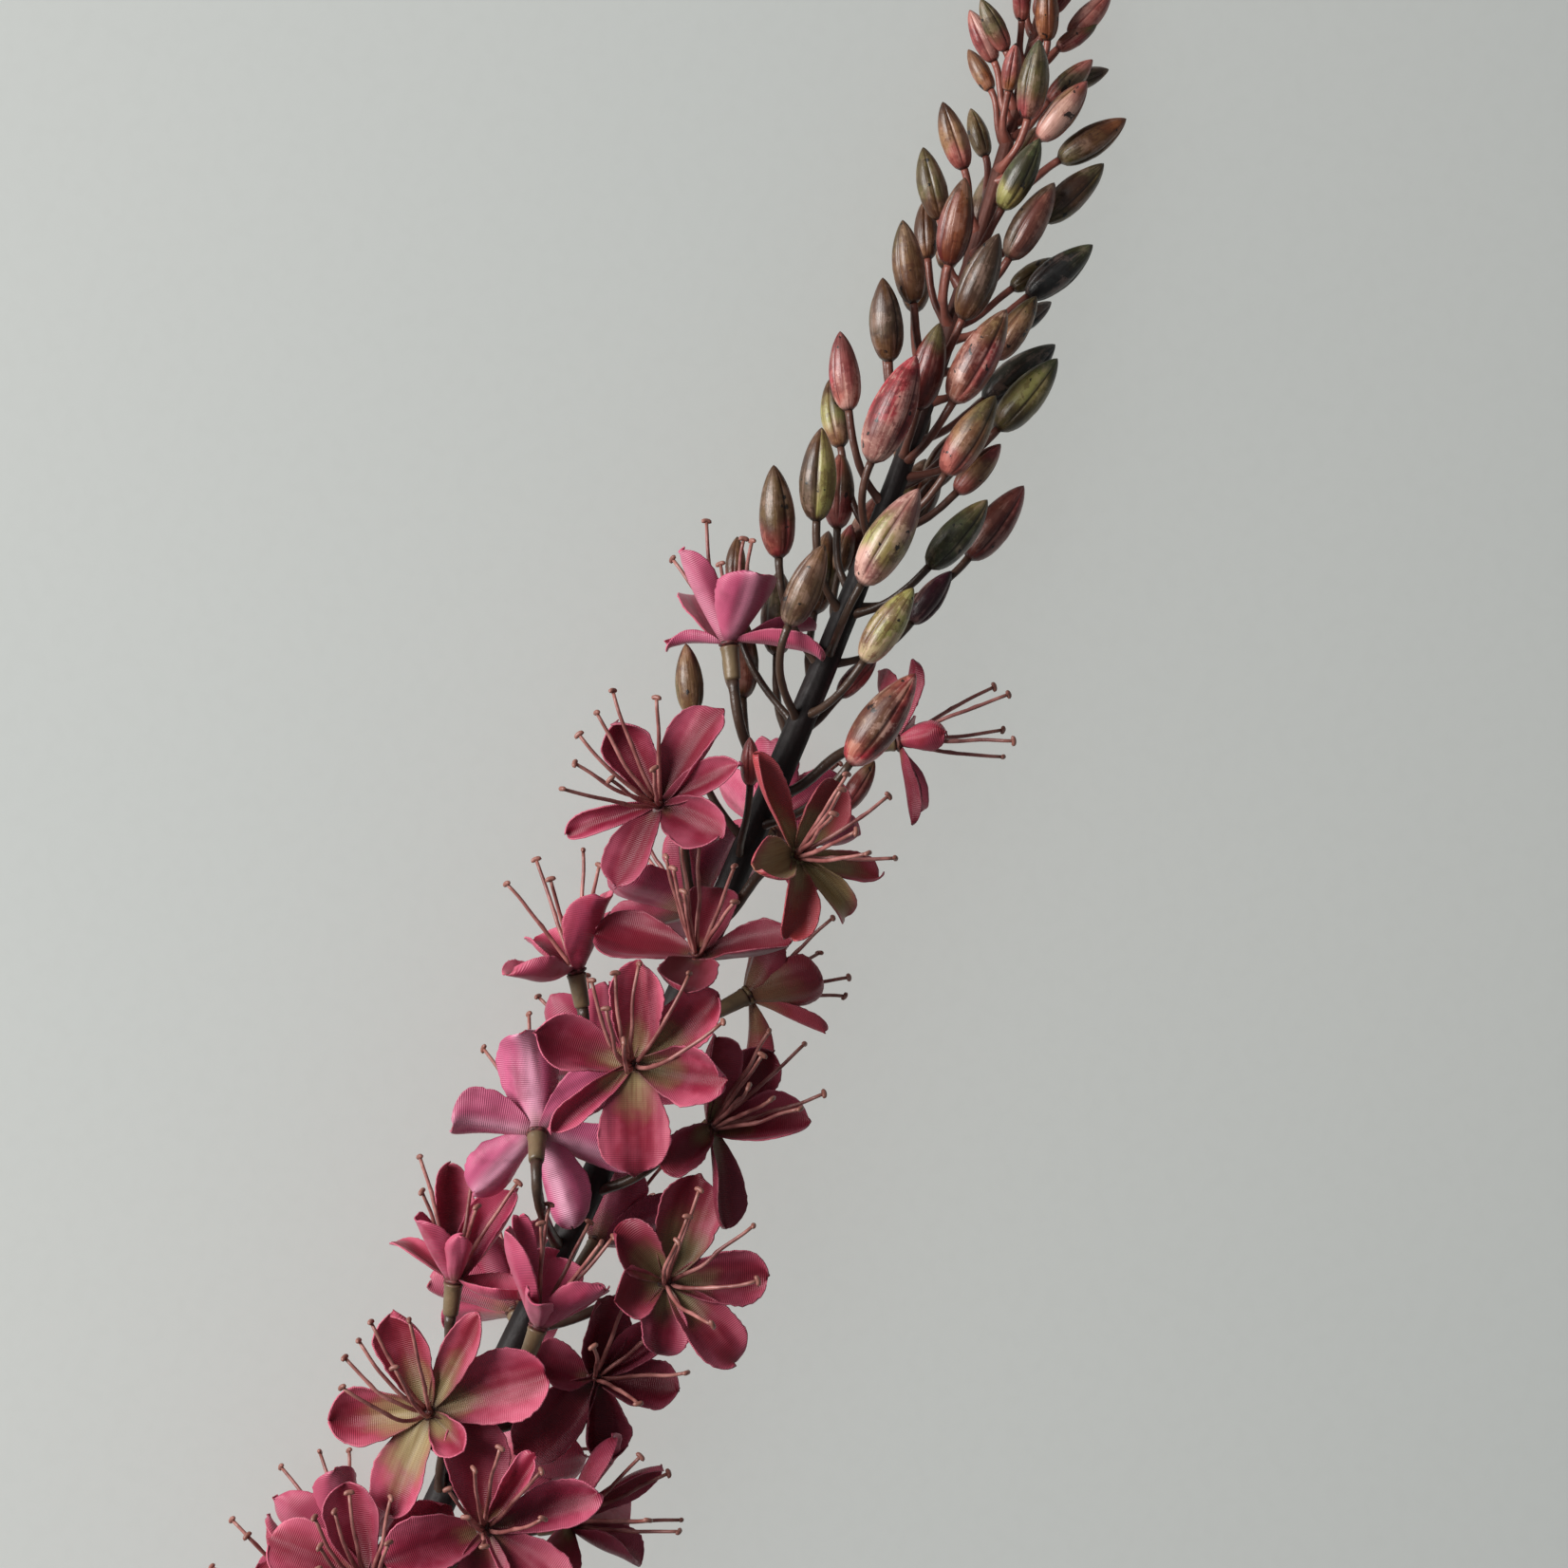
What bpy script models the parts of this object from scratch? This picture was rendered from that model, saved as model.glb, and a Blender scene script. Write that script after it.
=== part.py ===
"""Artificial foxtail lily: one flower spike that lies on its side.

The stem runs along +X from its cut end to the tip, and +Z is up. Lengths below are in
millimetres and angles in degrees, and the meshes are made in metres. Places along the spike
are stations, counted from the lowest bloom that faces straight up. "Side" is towards -Y.
"""

import math
import random

import bmesh
import bpy
from mathutils import Vector
from mathutils.bvhtree import BVHTree

MM = 0.001

# Main stem
STEM_START = -52.0
STEM_END = 401.0
STEM_RINGS = 16
STEM_SIDES = 8
STEM_RADII = ((-52.0, 3.9), (60.0, 3.7), (215.0, 3.2), (300.0, 2.3), (385.0, 1.4), (401.0, 1.1))
STEM_SLANT = 0.057
STEM_ARCH = 9.2e-5
STEM_RETURN = 6.05e-7
STEM_RISE = 33.0
STEM_DROOP = 23.5
DROOP_FROM = 150.0
DROOP_LENGTH = 255.0

# Stalks, buds and sleeves
STALK_SIDES = 5
STALK_BANDS = 3
SHORT_STALK_BANDS = 2
SHORT_BUD = 17.5
STALK_RADIUS = 0.95
TIP_STALK_RADIUS = 0.7
BLOOM_STALK_RADIUS = 1.25
FULL_BUD = 20.0
ROOT_BACK = 6.0
ROOT_SLANT = 0.7
BLOOM_ROOT_SHARE = 0.8
LEAVING_FORWARD = Vector((0.35, 0.0, 0.0))
LEAVING_OUT = 0.8
BUD_SPREAD = 0.45
BLOOM_SPREAD = 0.5
ARRIVING = 0.4
SLEEVE_LENGTH = 8.0
SLEEVE_FOOT_RADIUS = 1.65
SLEEVE_TOP_RADIUS = 2.1
BUD_GIRTH = 0.198
BUD_RINGS = ((0.07, 0.58), (0.36, 1.0), (0.74, 0.74))

# Blooms
HUB_RADIUS = 2.1
HUB_HEIGHT = 1.2
NODE_GAP = 0.3
PETALS_PER_BLOOM = 6
SEAT_ANGLE = 60.0
SEAT_SWING = 20.0
INNER_LEAN = 4.0
OUTER_LEAN = 5.0
PETAL_LENGTH = 20.5
PETAL_WIDTH = 14.0
PETAL_THICKNESS = 0.72
PETAL_ROOT_RADIUS = 1.8
PETAL_ROOT_HEIGHT = 0.6
PETAL_ROWS = ((0.0, (-1, 1)), (0.42, (-1, 0, 1)), (0.76, (-1, 0, 1)), (1.0, (-1, 1)))
PETAL_OUTLINE = (
    (0.0, 0.15), (0.2, 0.38), (0.42, 0.68), (0.6, 0.93), (0.76, 1.0), (0.9, 0.84), (1.0, 0.48)
)

# Stamens
KNOB_RADIUS = 1.3
KNOB_HEIGHT = 1.3
FILAMENTS_PER_BLOOM = 5
FILAMENT_LENGTH = 24.5
FILAMENT_SIDES = 3
FILAMENT_BANDS = 2
SWEEP_TO_TIP = 0.3
FILAMENT_RADIUS = 0.5
ANTHER_RADIUS = 1.15
ANTHER_LENGTH = 1.1

# Room that neighbours keep, and how far a petal may be pressed flat by the surface below
CLEARANCE = 0.35
MOST_PRESSED = 3.0
LEAST_OPENING = 14
MOST_OPENING = 124

# What each change to a petal or a filament costs, where one must be bent clear of another
OPENING_STEP = 7
TURN_STEP = 8
SHORTER_COST = 14.0
NARROWER_COST = 12.0
FILAMENT_STEP = 14
SPREAD_STEP = 0.15
SHORTER_FILAMENT_COST = 8.0

# Each bloom: station, side, height over the stem line; its heading (along, side, up);
# how far its petals open; the turn of its first petal; how far its stamens sweep over; its size.
BLOOMS = (
    (130, -3, 27, 0.12, -0.04, 1.00, 77, 19, 0.60, 1.0),
    (86, 25, 15, 0.19, 0.22, 0.92, 78, 40, 0.45, 1.0),
    (40, -11, 24, -0.02, -0.32, 0.95, 76, 56, 0.55, 1.0),
    (186, -22, 17, 0.19, -0.46, 0.85, 72, 52, 0.45, 0.96),
    (187, 11, 21, 0.42, 0.45, 0.78, 68, 32, 0.30, 0.88),
    (20, 12, 24, 0.34, 0.03, 0.90, 62, 50, 0.25, 1.0),
    (0, -7, 26, 0.15, -0.17, 0.95, 72, 30, 0.45, 1.0),
    (106, -16, 17, 0.55, -0.25, -0.72, 80, 5, 0.0, 1.0),
    (226, -22, 4, 0.80, -0.43, -0.15, 55, 20, 0.0, 1.0),
    (157, 0, 15, 0.76, -0.25, 0.60, 55, 0, 0.15, 1.0),
    (122, 19, 13, 0.68, 0.48, 0.50, 62, 25, 0.15, 1.0),
    (66, 3, 19, 0.98, -0.03, 0.17, 38, 10, 0.0, 1.02),
    (67, -19, 8, 0.94, -0.26, 0.22, 40, 40, 0.0, 1.0),
    (220, 22, -2, 0.50, 0.82, -0.10, 70, 15, 0.1, 0.95),
    (143, -24, 5, 0.84, -0.53, 0.10, 48, 35, 0.1, 0.95),
    (57, 20, -1, 0.48, 0.28, 0.62, 62, 20, 0.0, 1.0),
    (25, 29, 4, 0.49, 0.66, 0.30, 55, 45, 0.1, 1.0),
    (152, 14, -7, 0.63, 0.55, -0.30, 62, 30, 0.0, 0.95),
    (-14, -15, 3, -0.05, -0.91, 0.20, 52, 10, 0.2, 1.0),
    (-27, 7, 24, 0.10, 0.15, 0.95, 70, 15, 0.3, 1.0),
    (-22, 24, 2, 0.30, 0.85, 0.10, 60, 50, 0.1, 1.0),
    (165, -5, -9, 0.55, -0.50, -0.45, 60, 10, 0.0, 1.0),
    (85, 7, -12, 0.70, 0.15, -0.45, 52, 0, 0.0, 1.0),
    (189, 3, -18, 0.55, 0.20, -0.60, 58, 40, 0.0, 0.95),
    (122, -9, -20, 0.50, -0.40, -0.55, 62, 30, 0.0, 1.0),
    (62, -3, -18, 0.45, -0.40, -0.55, 58, 50, 0.0, 0.95),
    (28, 7, -21, 0.50, 0.45, -0.50, 62, 20, 0.0, 1.0),
    (-5, -14, -19, 0.45, -0.55, -0.45, 62, 15, 0.0, 1.0),
    (-20, 10, -20, 0.40, 0.55, -0.45, 62, 40, 0.0, 1.0),
)

# The petals of the blooms in view, by the bloom's number. Each petal: the bearing it points to,
# counted from the stem's direction and seen from above; its rise; its length and width as shares
# of the usual ones; its curl, which is greater the more it bends back; how far it is cupped.
PETALS_IN_VIEW = {
    1: (
        (94, 12, 1.02, 0.98, -25, 0.40), (149, 11, 1.05, 0.56, 12, 0.56), (203, 13, 1.06, 1.08, 22, 0.12),
        (284, 22, 0.98, 0.95, -48, 0.50), (-38, 10, 1.08, 1.05, -14, 0.30), (18, 19, 1.02, 0.90, -20, 0.35),
    ),
    2: (
        (5, 1, 1.08, 1.06, -10, 0.30), (-65, -9, 0.98, 0.92, 14, 0.20), (227, 5, 1.05, 0.88, 18, 0.18),
        (195, 15, 0.68, 0.75, 10, 0.35), (108, 40, 0.62, 0.85, -45, 0.50), (62, 20, 0.72, 0.80, -10, 0.50),
    ),
    3: (
        (38, 6, 1.05, 1.00, -16, 0.35), (-14, 20, 1.20, 1.06, 10, 0.25), (-57, 12, 1.26, 1.10, -14, 0.30),
        (250, 35, 0.62, 0.70, -10, 0.40), (182, 5, 1.08, 0.92, 20, 0.20), (118, -3, 1.00, 0.94, -24, 0.45),
    ),
    4: (
        (48, 0, 1.00, 0.94, -34, 0.56), (-6, 7, 1.12, 1.02, -8, 0.32), (-44, 23, 1.02, 0.62, 8, 0.56),
        (263, 42, 1.04, 0.94, 16, 0.22), (177, 20, 0.98, 0.88, 20, 0.24), (130, -9, 1.00, 0.50, 16, 0.56),
    ),
    5: (
        (45, 18, 1.28, 0.62, -8, 0.56), (-8, 1, 0.92, 0.96, -24, 0.40), (272, -22, 1.02, 0.58, 22, 0.55),
        (242, -10, 0.92, 0.60, 26, 0.50), (198, 28, 1.04, 0.84, 14, 0.24), (128, 60, 0.86, 0.92, -20, 0.48),
    ),
    6: (
        (37, 6, 1.12, 1.00, -14, 0.34), (-20, 20, 0.92, 0.96, -8, 0.30), (-49, 4, 1.22, 0.80, -22, 0.45),
        (254, 17, 1.00, 0.94, -10, 0.34), (200, 29, 0.98, 1.00, 8, 0.24), (128, 27, 1.06, 1.06, 6, 0.26),
    ),
    7: (
        (90, 2, 1.02, 1.04, 6, 0.24), (34, 11, 1.00, 0.90, -18, 0.40), (-20, 16, 1.00, 0.92, -14, 0.40),
        (282, 22, 1.00, 1.00, 0, 0.30), (218, 23, 1.00, 1.00, 10, 0.24), (154, 14, 1.00, 1.00, 8, 0.26),
    ),
    8: (
        (14, 4, 1.04, 1.02, 24, 0.44), (-40, -6, 1.00, 1.00, 10, 0.30), (272, -16, 1.00, 0.90, 14, 0.35),
        (226, 8, 1.04, 0.84, 26, 0.52), (158, -20, 1.00, 0.92, 14, 0.40), (104, 4, 0.84, 1.04, 22, 0.46),
    ),
    9: (
        (52, 8, 1.10, 0.66, 6, 0.56), (0, 28, 0.94, 1.00, -16, 0.44), (282, 6, 0.98, 0.72, 14, 0.50),
        (-56, -30, 1.00, 0.95, 0, 0.35), (32, -42, 1.00, 0.95, 0, 0.30), (160, -12, 0.62, 0.90, 26, 0.40),
    ),
    10: (
        (57, 30, 1.00, 0.92, -18, 0.50), (110, -2, 1.05, 1.02, -8, 0.34), (-56, 22, 1.02, 0.96, -10, 0.44),
        (284, -12, 0.98, 0.92, -14, 0.44), (190, 45, 0.90, 1.00, 8, 0.30), (-4, -55, 0.80, 0.90, -6, 0.30),
    ),
    11: (
        (-60, 20, 0.98, 1.00, -12, 0.40), (-30, -25, 1.00, 0.95, -8, 0.36), (214, -8, 1.02, 0.86, 10, 0.26),
        (239, -30, 1.12, 0.55, 14, 0.50), (166, 30, 0.70, 0.76, 16, 0.50), (20, 16, 1.00, 0.95, -8, 0.40),
    ),
    12: (
        (39, 16, 1.18, 0.90, -10, 0.55), (22, 36, 0.86, 0.95, -12, 0.50), (27, -14, 1.12, 1.00, -6, 0.30),
        (-21, 10, 0.80, 0.90, 0, 0.40), (-48, -10, 0.80, 0.90, 0, 0.35), (-10, -46, 1.00, 1.00, 0, 0.30),
    ),
    13: (
        (40, 20, 0.88, 0.75, -12, 0.56), (25, 48, 0.80, 0.80, -14, 0.50), (17, -12, 1.24, 1.00, -8, 0.34),
        (-13, -20, 1.10, 0.95, 0, 0.40), (277, 10, 0.72, 0.90, -34, 0.48), (62, -30, 0.75, 0.85, 0, 0.30),
    ),
    14: (
        (10, 10, 0.85, 0.70, -10, 0.45), (40, -35, 0.90, 0.80, 0, 0.40), (-50, -60, 0.60, 0.60, 0, 0.30),
        (217, -30, 0.90, 0.55, 8, 0.50), (210, 15, 0.90, 0.55, 8, 0.55), (-53, 25, 0.55, 0.55, 0, 0.40),
    ),
    15: (
        (112, 35, 0.85, 1.05, -56, 0.56), (142, -12, 1.05, 1.00, -20, 0.45), (-18, 25, 1.00, 1.00, -20, 0.50),
        (282, 0, 0.80, 0.90, -10, 0.45), (56, -30, 0.65, 0.90, 0, 0.35), (7, -35, 0.80, 0.90, 0, 0.34),
    ),
    16: (
        (82, 15, 0.70, 0.80, -20, 0.50), (12, 20, 0.85, 0.90, -12, 0.40), (-28, 12, 1.00, 0.90, -10, 0.40),
        (277, 5, 0.85, 0.90, -10, 0.45), (200, 5, 0.85, 1.00, -30, 0.50), (148, -8, 1.05, 1.00, 0, 0.35),
    ),
    17: (
        (-32, 5, 1.10, 1.05, -6, 0.34), (274, 25, 0.80, 1.10, -12, 0.40), (19, 10, 1.12, 1.15, -20, 0.40),
        (232, 0, 1.00, 1.00, -10, 0.44), (202, 20, 1.00, 0.95, 10, 0.30), (262, -44, 1.00, 1.00, 0, 0.30),
    ),
    18: (
        (-43, 14, 0.84, 1.00, 8, 0.36), (281, 4, 0.92, 0.62, 12, 0.50), (0, 0, 0.70, 0.90, -6, 0.40),
        (207, -6, 1.00, 0.70, 16, 0.45), (280, -52, 1.00, 1.00, 0, 0.30), (2, -48, 1.00, 1.00, 0, 0.30),
    ),
}

# Each bud: station, side and height of its foot; length; lean to the side; rise.
BUDS = (
    (249, -19, 5, 21, -24, 6), (235, -11, 16, 20, 2, 12), (208, -24, 2, 16, -25, 0),
    (239, -26, -5, 12, -22, -6), (260, -14, 9, 21, -21, 8), (261, -9, -4, 18, -19, -8),
    (279, -15, -5, 16, -33, -8), (287, -16, 4, 18, -29, 2), (277, -7, 14, 26, 1, 10),
    (293, -1, 8, 20, -8, 10), (281, -1, -6, 15, 7, -12), (297, 6, 13, 24, 8, 8),
    (311, 12, 5, 17, 12, 4), (302, 13, -5, 21, 31, -5), (296, 18, 4, 21, 19, 2),
    (281, 10, 12, 21, 10, 10), (279, 14, 0, 15, 22, -2), (269, 7, -6, 13, 9, -12),
    (250, 1, 17, 25, 9, 10), (266, 22, -3, 21, 17, -4), (260, 14, 8, 20, 21, 5),
    (247, 15, -1, 15, 16, -6), (234, 8, 13, 20, 11, 10), (211, 14, 17, 25, 14, 8),
    (225, 6, -5, 13, 19, -12), (201, 17, 2, 13, 12, -8), (252, -5, -10, 12, -8, -18),
    (198, -5, 15, 11, -21, 14), (316, -10, 4, 19, -30, 4), (301, -11, 5, 19, -25, 6),
    (337, -10, 2, 17, -37, 0), (328, -10, -4, 14, -27, -8), (327, -5, 8, 20, -12, 12),
    (316, 2, 11, 21, 1, 12), (350, -8, 4, 16, -42, 6), (356, -4, -4, 12, -40, -10),
    (344, 3, 8, 18, 8, 14), (334, 8, 6, 20, 9, 6), (346, 13, 2, 19, 28, 4),
    (361, 13, 1, 18, 38, 2), (363, 7, 6, 17, 20, 12), (329, 11, -4, 13, 33, -8),
    (328, 15, 1, 19, 30, 0), (320, 14, -7, 12, 30, -14), (377, -8, 2, 13, -48, 4),
    (371, -7, -2, 11, -50, -8), (371, -3, 6, 11, -14, 18), (366, 3, 9, 18, -13, 12),
    (373, 7, 1, 14, 25, 2), (378, 9, -2, 12, 46, -6), (386, 3, 5, 14, -24, 14),
    (390, 8, 0, 14, 24, 0), (380, -6, 5, 13, -50, 12),
)

# Buds below the stem line and round the tip follow a spiral.
GOLDEN_ANGLE = 137.5
UNDER_BUDS = 12
UNDER_FROM = 216.0
UNDER_STEP = 12.5
UNDER_ARC = 120.0
UNDER_REACH = (9.0, 17.0)
UNDER_LENGTH = (10.0, 21.0)
UNDER_SMALLEST = 0.5
UNDER_LEAN = 30.0
UNDER_RISE = -14.0
TIP_BUDS = 9
TIP_FROM = 386.0
TIP_STEP = 2.4
TIP_REACH = (1.5, 6.0)
TIP_LENGTH = (7.0, 11.0)
TIP_LEAN = 34.0

SHARP_ANGLE = 40.0
COLOURS = {
    "stem": (0.060, 0.035, 0.030, 1.0),
    "petals": (0.50, 0.085, 0.150, 1.0),
    "stamens": (0.33, 0.135, 0.105, 1.0),
}


def along_table(table, at):
    """The value at one place of a table of (place, value), by straight lines."""
    if at <= table[0][0]:
        return table[0][1]
    for (a, first), (b, second) in zip(table, table[1:]):
        if at <= b:
            return first + (second - first) * (at - a) / (b - a)
    return table[-1][1]


def between(ends, share):
    return ends[0] + (ends[1] - ends[0]) * share


def stem_side(station):
    """How far the arched stem lies to the side of the straight line of stations."""
    past = max(0.0, station)
    return STEM_SLANT * station + STEM_ARCH * past**2 - STEM_RETURN * past**3


def stem_height(station):
    """The stem's height: level under the blooms, then drooping to the tip."""
    past = max(0.0, station - DROOP_FROM) / DROOP_LENGTH
    return STEM_RISE - STEM_DROOP * past**2


def place(station, side=0.0, up=0.0):
    return Vector((station, -(stem_side(station) + side), stem_height(station) + up))


def heading(along, side, up):
    return Vector((along, -side, up)).normalized()


def across(direction):
    """Two unit vectors square to a direction, the first as near the tip's direction as can be."""
    ahead = Vector((1.0, 0.0, 0.0))
    if abs(direction.dot(ahead)) > 0.97:
        ahead = Vector((0.0, 0.0, 1.0))
    first = (ahead - direction * ahead.dot(direction)).normalized()
    return first, direction.cross(first)


def bezier(points, t):
    """A point of the curve that the four (or three) control points draw."""
    while len(points) > 1:
        points = [a.lerp(b, t) for a, b in zip(points, points[1:])]
    return points[0]


def above_floor(point, room=0.0):
    return Vector((point.x, point.y, max(point.z, room)))


def tube(path, radii, sides):
    """A closed tube with one ring at each point of the path; a last radius of 0 ends in a point."""
    verts, faces, rings = [], [], []
    side = None
    for i, point in enumerate(path):
        ahead = (path[min(i + 1, len(path) - 1)] - path[max(i - 1, 0)]).normalized()
        side = across(ahead)[0] if side is None else (side - ahead * side.dot(ahead)).normalized()
        other = ahead.cross(side)
        if radii[i] == 0:
            rings.append([len(verts)])
            verts.append(point)
            continue
        rings.append(list(range(len(verts), len(verts) + sides)))
        for k in range(sides):
            a = 2 * math.pi * k / sides
            verts.append(point + radii[i] * (math.cos(a) * side + math.sin(a) * other))
    for ring, following in zip(rings, rings[1:]):
        for k in range(sides):
            m = (k + 1) % sides
            if len(following) == 1:
                faces.append((ring[k], ring[m], following[0]))
            else:
                faces.append((ring[k], ring[m], following[m]))
                faces.append((ring[k], following[m], following[k]))
    faces.append(tuple(reversed(rings[0])))
    if len(rings[-1]) > 1:
        faces.append(tuple(rings[-1]))
    return [above_floor(v) for v in verts], faces


def petal_point(petal, u, v, half):
    """The point of a petal's middle surface at u along and v across, where it is twice half wide.

    It comes with the direction square to the surface there.
    """
    start = math.radians(petal["opening"])
    curl = math.radians(petal["curl"]) or 1e-6
    lean = start + curl * u
    rise = petal["length"] * (math.sin(lean) - math.sin(start)) / curl
    out = petal["length"] * (math.cos(start) - math.cos(lean)) / curl
    turn = math.radians(petal["turn"])
    first, second = across(petal["axis"])
    outward = math.cos(turn) * first + math.sin(turn) * second
    sideways = petal["axis"].cross(outward)
    inner = petal["axis"] * math.sin(lean) - outward * math.cos(lean)
    point = petal["centre"] + petal["axis"] * (PETAL_ROOT_HEIGHT + rise)
    point = point + outward * (PETAL_ROOT_RADIUS + out)
    point = point + sideways * (v * half + petal["bend"] * u * u)
    point = point + inner * (petal["cup"] * half * v * v)
    normal = (inner - sideways * (2 * petal["cup"] * v)).normalized()
    return point, normal


def petal_frame(petal, u, v):
    return petal_point(petal, u, v, 0.5 * petal["width"] * along_table(PETAL_OUTLINE, u))


def sheet_points(petal, spare):
    """The points of a petal's two faces, and its rows of point numbers from root to tip."""
    half = PETAL_THICKNESS / 2 + spare
    grown = dict(petal, width=petal["width"] + 2 * spare)
    upper, lower, rows = [], [], []
    for u, places in PETAL_ROWS:
        row = []
        for v in places:
            point, normal = petal_frame(grown, u, v)
            if point.z < PETAL_THICKNESS / 2:
                point.z = PETAL_THICKNESS / 2
                normal = Vector((0.0, 0.0, math.copysign(1.0, normal.z)))
            row.append(len(upper))
            upper.append(point + normal * half)
            lower.append(point - normal * half)
        rows.append(row)
    return upper, lower, rows


def shell_faces(above, below, open_root):
    """The faces of a sheet, both sides split alike, with its rim and, unless open, its root."""
    faces = []
    for a, b, c, d in zip(above, above[1:], below, below[1:]):
        faces += strip(a, b)
        faces += [tuple(reversed(face)) for face in strip(c, d)]
        faces += [(b[0], a[0], c[0]), (b[0], c[0], d[0])]
        faces += [(a[-1], b[-1], d[-1]), (a[-1], d[-1], c[-1])]
    faces += end_faces(above[-1], below[-1])
    if not open_root:
        faces += end_faces(above[0][::-1], below[0][::-1])
    return faces


def end_faces(above, below):
    faces = []
    for a, b, c, d in zip(above, above[1:], below, below[1:]):
        faces += [(b, a, c), (b, c, d)]
    return faces


def blade(petal, spare=0.0):
    """A petal as a closed sheet. Spare thickens and widens it, to test it against others."""
    upper, lower, rows = sheet_points(petal, spare)
    under = [[i + len(upper) for i in row] for row in rows]
    return upper + lower, shell_faces(rows, under, open_root=False)


def strip(a, b):
    """The triangles between two rows of two or three points."""
    if len(a) == 2 and len(b) == 3:
        return [(a[0], a[1], b[1]), (a[0], b[1], b[0]), (a[1], b[2], b[1])]
    if len(a) == 3 and len(b) == 2:
        return [(a[0], a[1], b[0]), (a[1], a[2], b[1]), (a[1], b[1], b[0])]
    left = [(a[0], a[1], b[1]), (a[0], b[1], b[0])]
    right = [(a[1], a[2], b[1]), (a[2], b[2], b[1])]
    return left + right


def stalk_path(foot, direction, station, spread, bands):
    """Points from inside the stem to the foot of a bud or sleeve, arching towards the tip."""
    root = place(station)
    out = foot - root
    out.x = 0.0
    out.normalize()
    reach = (foot - root).length
    leaving = root + (out * LEAVING_OUT + LEAVING_FORWARD) * reach * spread
    arriving = foot - direction * reach * ARRIVING
    return [bezier([root, leaving, arriving, foot], k / bands) for k in range(bands + 1)]


def root_station(station, side, up):
    """Where a stalk leaves the stem, given the place of its foot."""
    return station - ROOT_BACK - ROOT_SLANT * math.hypot(side, up)


def bud_tube(station, side, up, length, lean, rise):
    lean, rise = math.radians(lean), math.radians(rise)
    direction = heading(
        math.cos(lean) * math.cos(rise), math.sin(lean) * math.cos(rise), math.sin(rise)
    )
    foot = place(station, side, up)
    bands = STALK_BANDS if length > SHORT_BUD else SHORT_STALK_BANDS
    path = stalk_path(foot, direction, root_station(station, side, up), BUD_SPREAD, bands)
    radius = length * BUD_GIRTH
    radii = [between((TIP_STALK_RADIUS, STALK_RADIUS), min(1.0, length / FULL_BUD))] * len(path)
    for share, part in BUD_RINGS:
        path.append(foot + direction * length * share)
        radii.append(radius * part)
    path.append(foot + direction * length)
    radii.append(0)
    return tube(path, radii, STALK_SIDES)


def under_buds():
    """Buds on the far side of the stem, turned by the golden angle and kept to the lower half."""
    rows = []
    for k in range(UNDER_BUDS):
        station = UNDER_FROM + UNDER_STEP * k
        swing = math.radians((GOLDEN_ANGLE * k) % UNDER_ARC - UNDER_ARC / 2)
        size = 1.0 - (1.0 - UNDER_SMALLEST) * k / UNDER_BUDS
        reach = between(UNDER_REACH, size)
        lean = UNDER_LEAN * math.sin(swing)
        side, up = reach * math.sin(swing), -reach * math.cos(swing)
        rows.append((station, side, up, between(UNDER_LENGTH, size), lean, UNDER_RISE))
    return rows


def tip_buds():
    """The small buds that close the tip."""
    rows = []
    for k in range(TIP_BUDS):
        around = math.radians(GOLDEN_ANGLE * k)
        left = 1.0 - k / TIP_BUDS
        reach = between(TIP_REACH, left)
        side, up = math.cos(around), math.sin(around)
        lean, rise = TIP_LEAN * left * side, TIP_LEAN * left * up
        station = TIP_FROM + TIP_STEP * k
        rows.append((station, reach * side, reach * up, between(TIP_LENGTH, left), lean, rise))
    return rows


def bloom_rows():
    names = "station side up along aside above opening turn sweep size".split()
    rows = [dict(zip(names, row), number=k + 1) for k, row in enumerate(BLOOMS)]
    for row in rows:
        row["petals"] = petals_in_view(row) if row["number"] in PETALS_IN_VIEW else drawn_petals(row)
    return rows


def petals_in_view(row):
    """The petals that the table gives, in order round the bloom."""
    axis = bloom_axis(row)
    first, second = across(axis)
    petals = []
    for bearing, rise, length, width, curl, cup in PETALS_IN_VIEW[row["number"]]:
        ahead, lift = math.radians(bearing), math.radians(rise)
        aim = Vector((math.cos(ahead), math.sin(ahead), math.tan(lift))).normalized()
        petal = {
            "turn": math.degrees(math.atan2(aim.dot(second), aim.dot(first))) % 360.0,
            "opening": math.degrees(aim.angle(axis)) - curl / 2,
            "curl": curl,
            "cup": cup,
            "bend": 0.0,
            "length": PETAL_LENGTH * row["size"] * length,
            "width": PETAL_WIDTH * row["size"] * width,
        }
        petals.append(petal)
    petals.sort(key=lambda petal: petal["turn"])
    turns = [petal["turn"] - SEAT_ANGLE * seat for seat, petal in enumerate(petals)]
    row["turn"] = sum(turns) / PETALS_PER_BLOOM
    for turn, petal in zip(turns, petals):
        astray = turn - row["turn"]
        petal["turn"] -= astray - max(-SEAT_SWING, min(SEAT_SWING, astray))
    return [seated(row, seat, petal) for seat, petal in enumerate(petals)]


def drawn_petals(row):
    """Petals set evenly round the bloom, each with its own seeded shape."""
    rng = random.Random(500 + row["number"])
    petals = []
    for seat in range(PETALS_PER_BLOOM):
        lean = OUTER_LEAN if seat % 2 else -INNER_LEAN
        petal = {
            "turn": row["turn"] + SEAT_ANGLE * seat + rng.uniform(-5, 5),
            "opening": row["opening"] + lean + rng.uniform(-6, 6),
            "curl": rng.uniform(-26, 40),
            "cup": rng.uniform(0.14, 0.46),
            "bend": rng.uniform(-1.6, 1.6),
            "length": PETAL_LENGTH * row["size"] * rng.uniform(0.92, 1.06),
            "width": PETAL_WIDTH * row["size"] * rng.uniform(0.8, 1.04),
        }
        petals.append(seated(row, seat, petal))
    return petals


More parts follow.
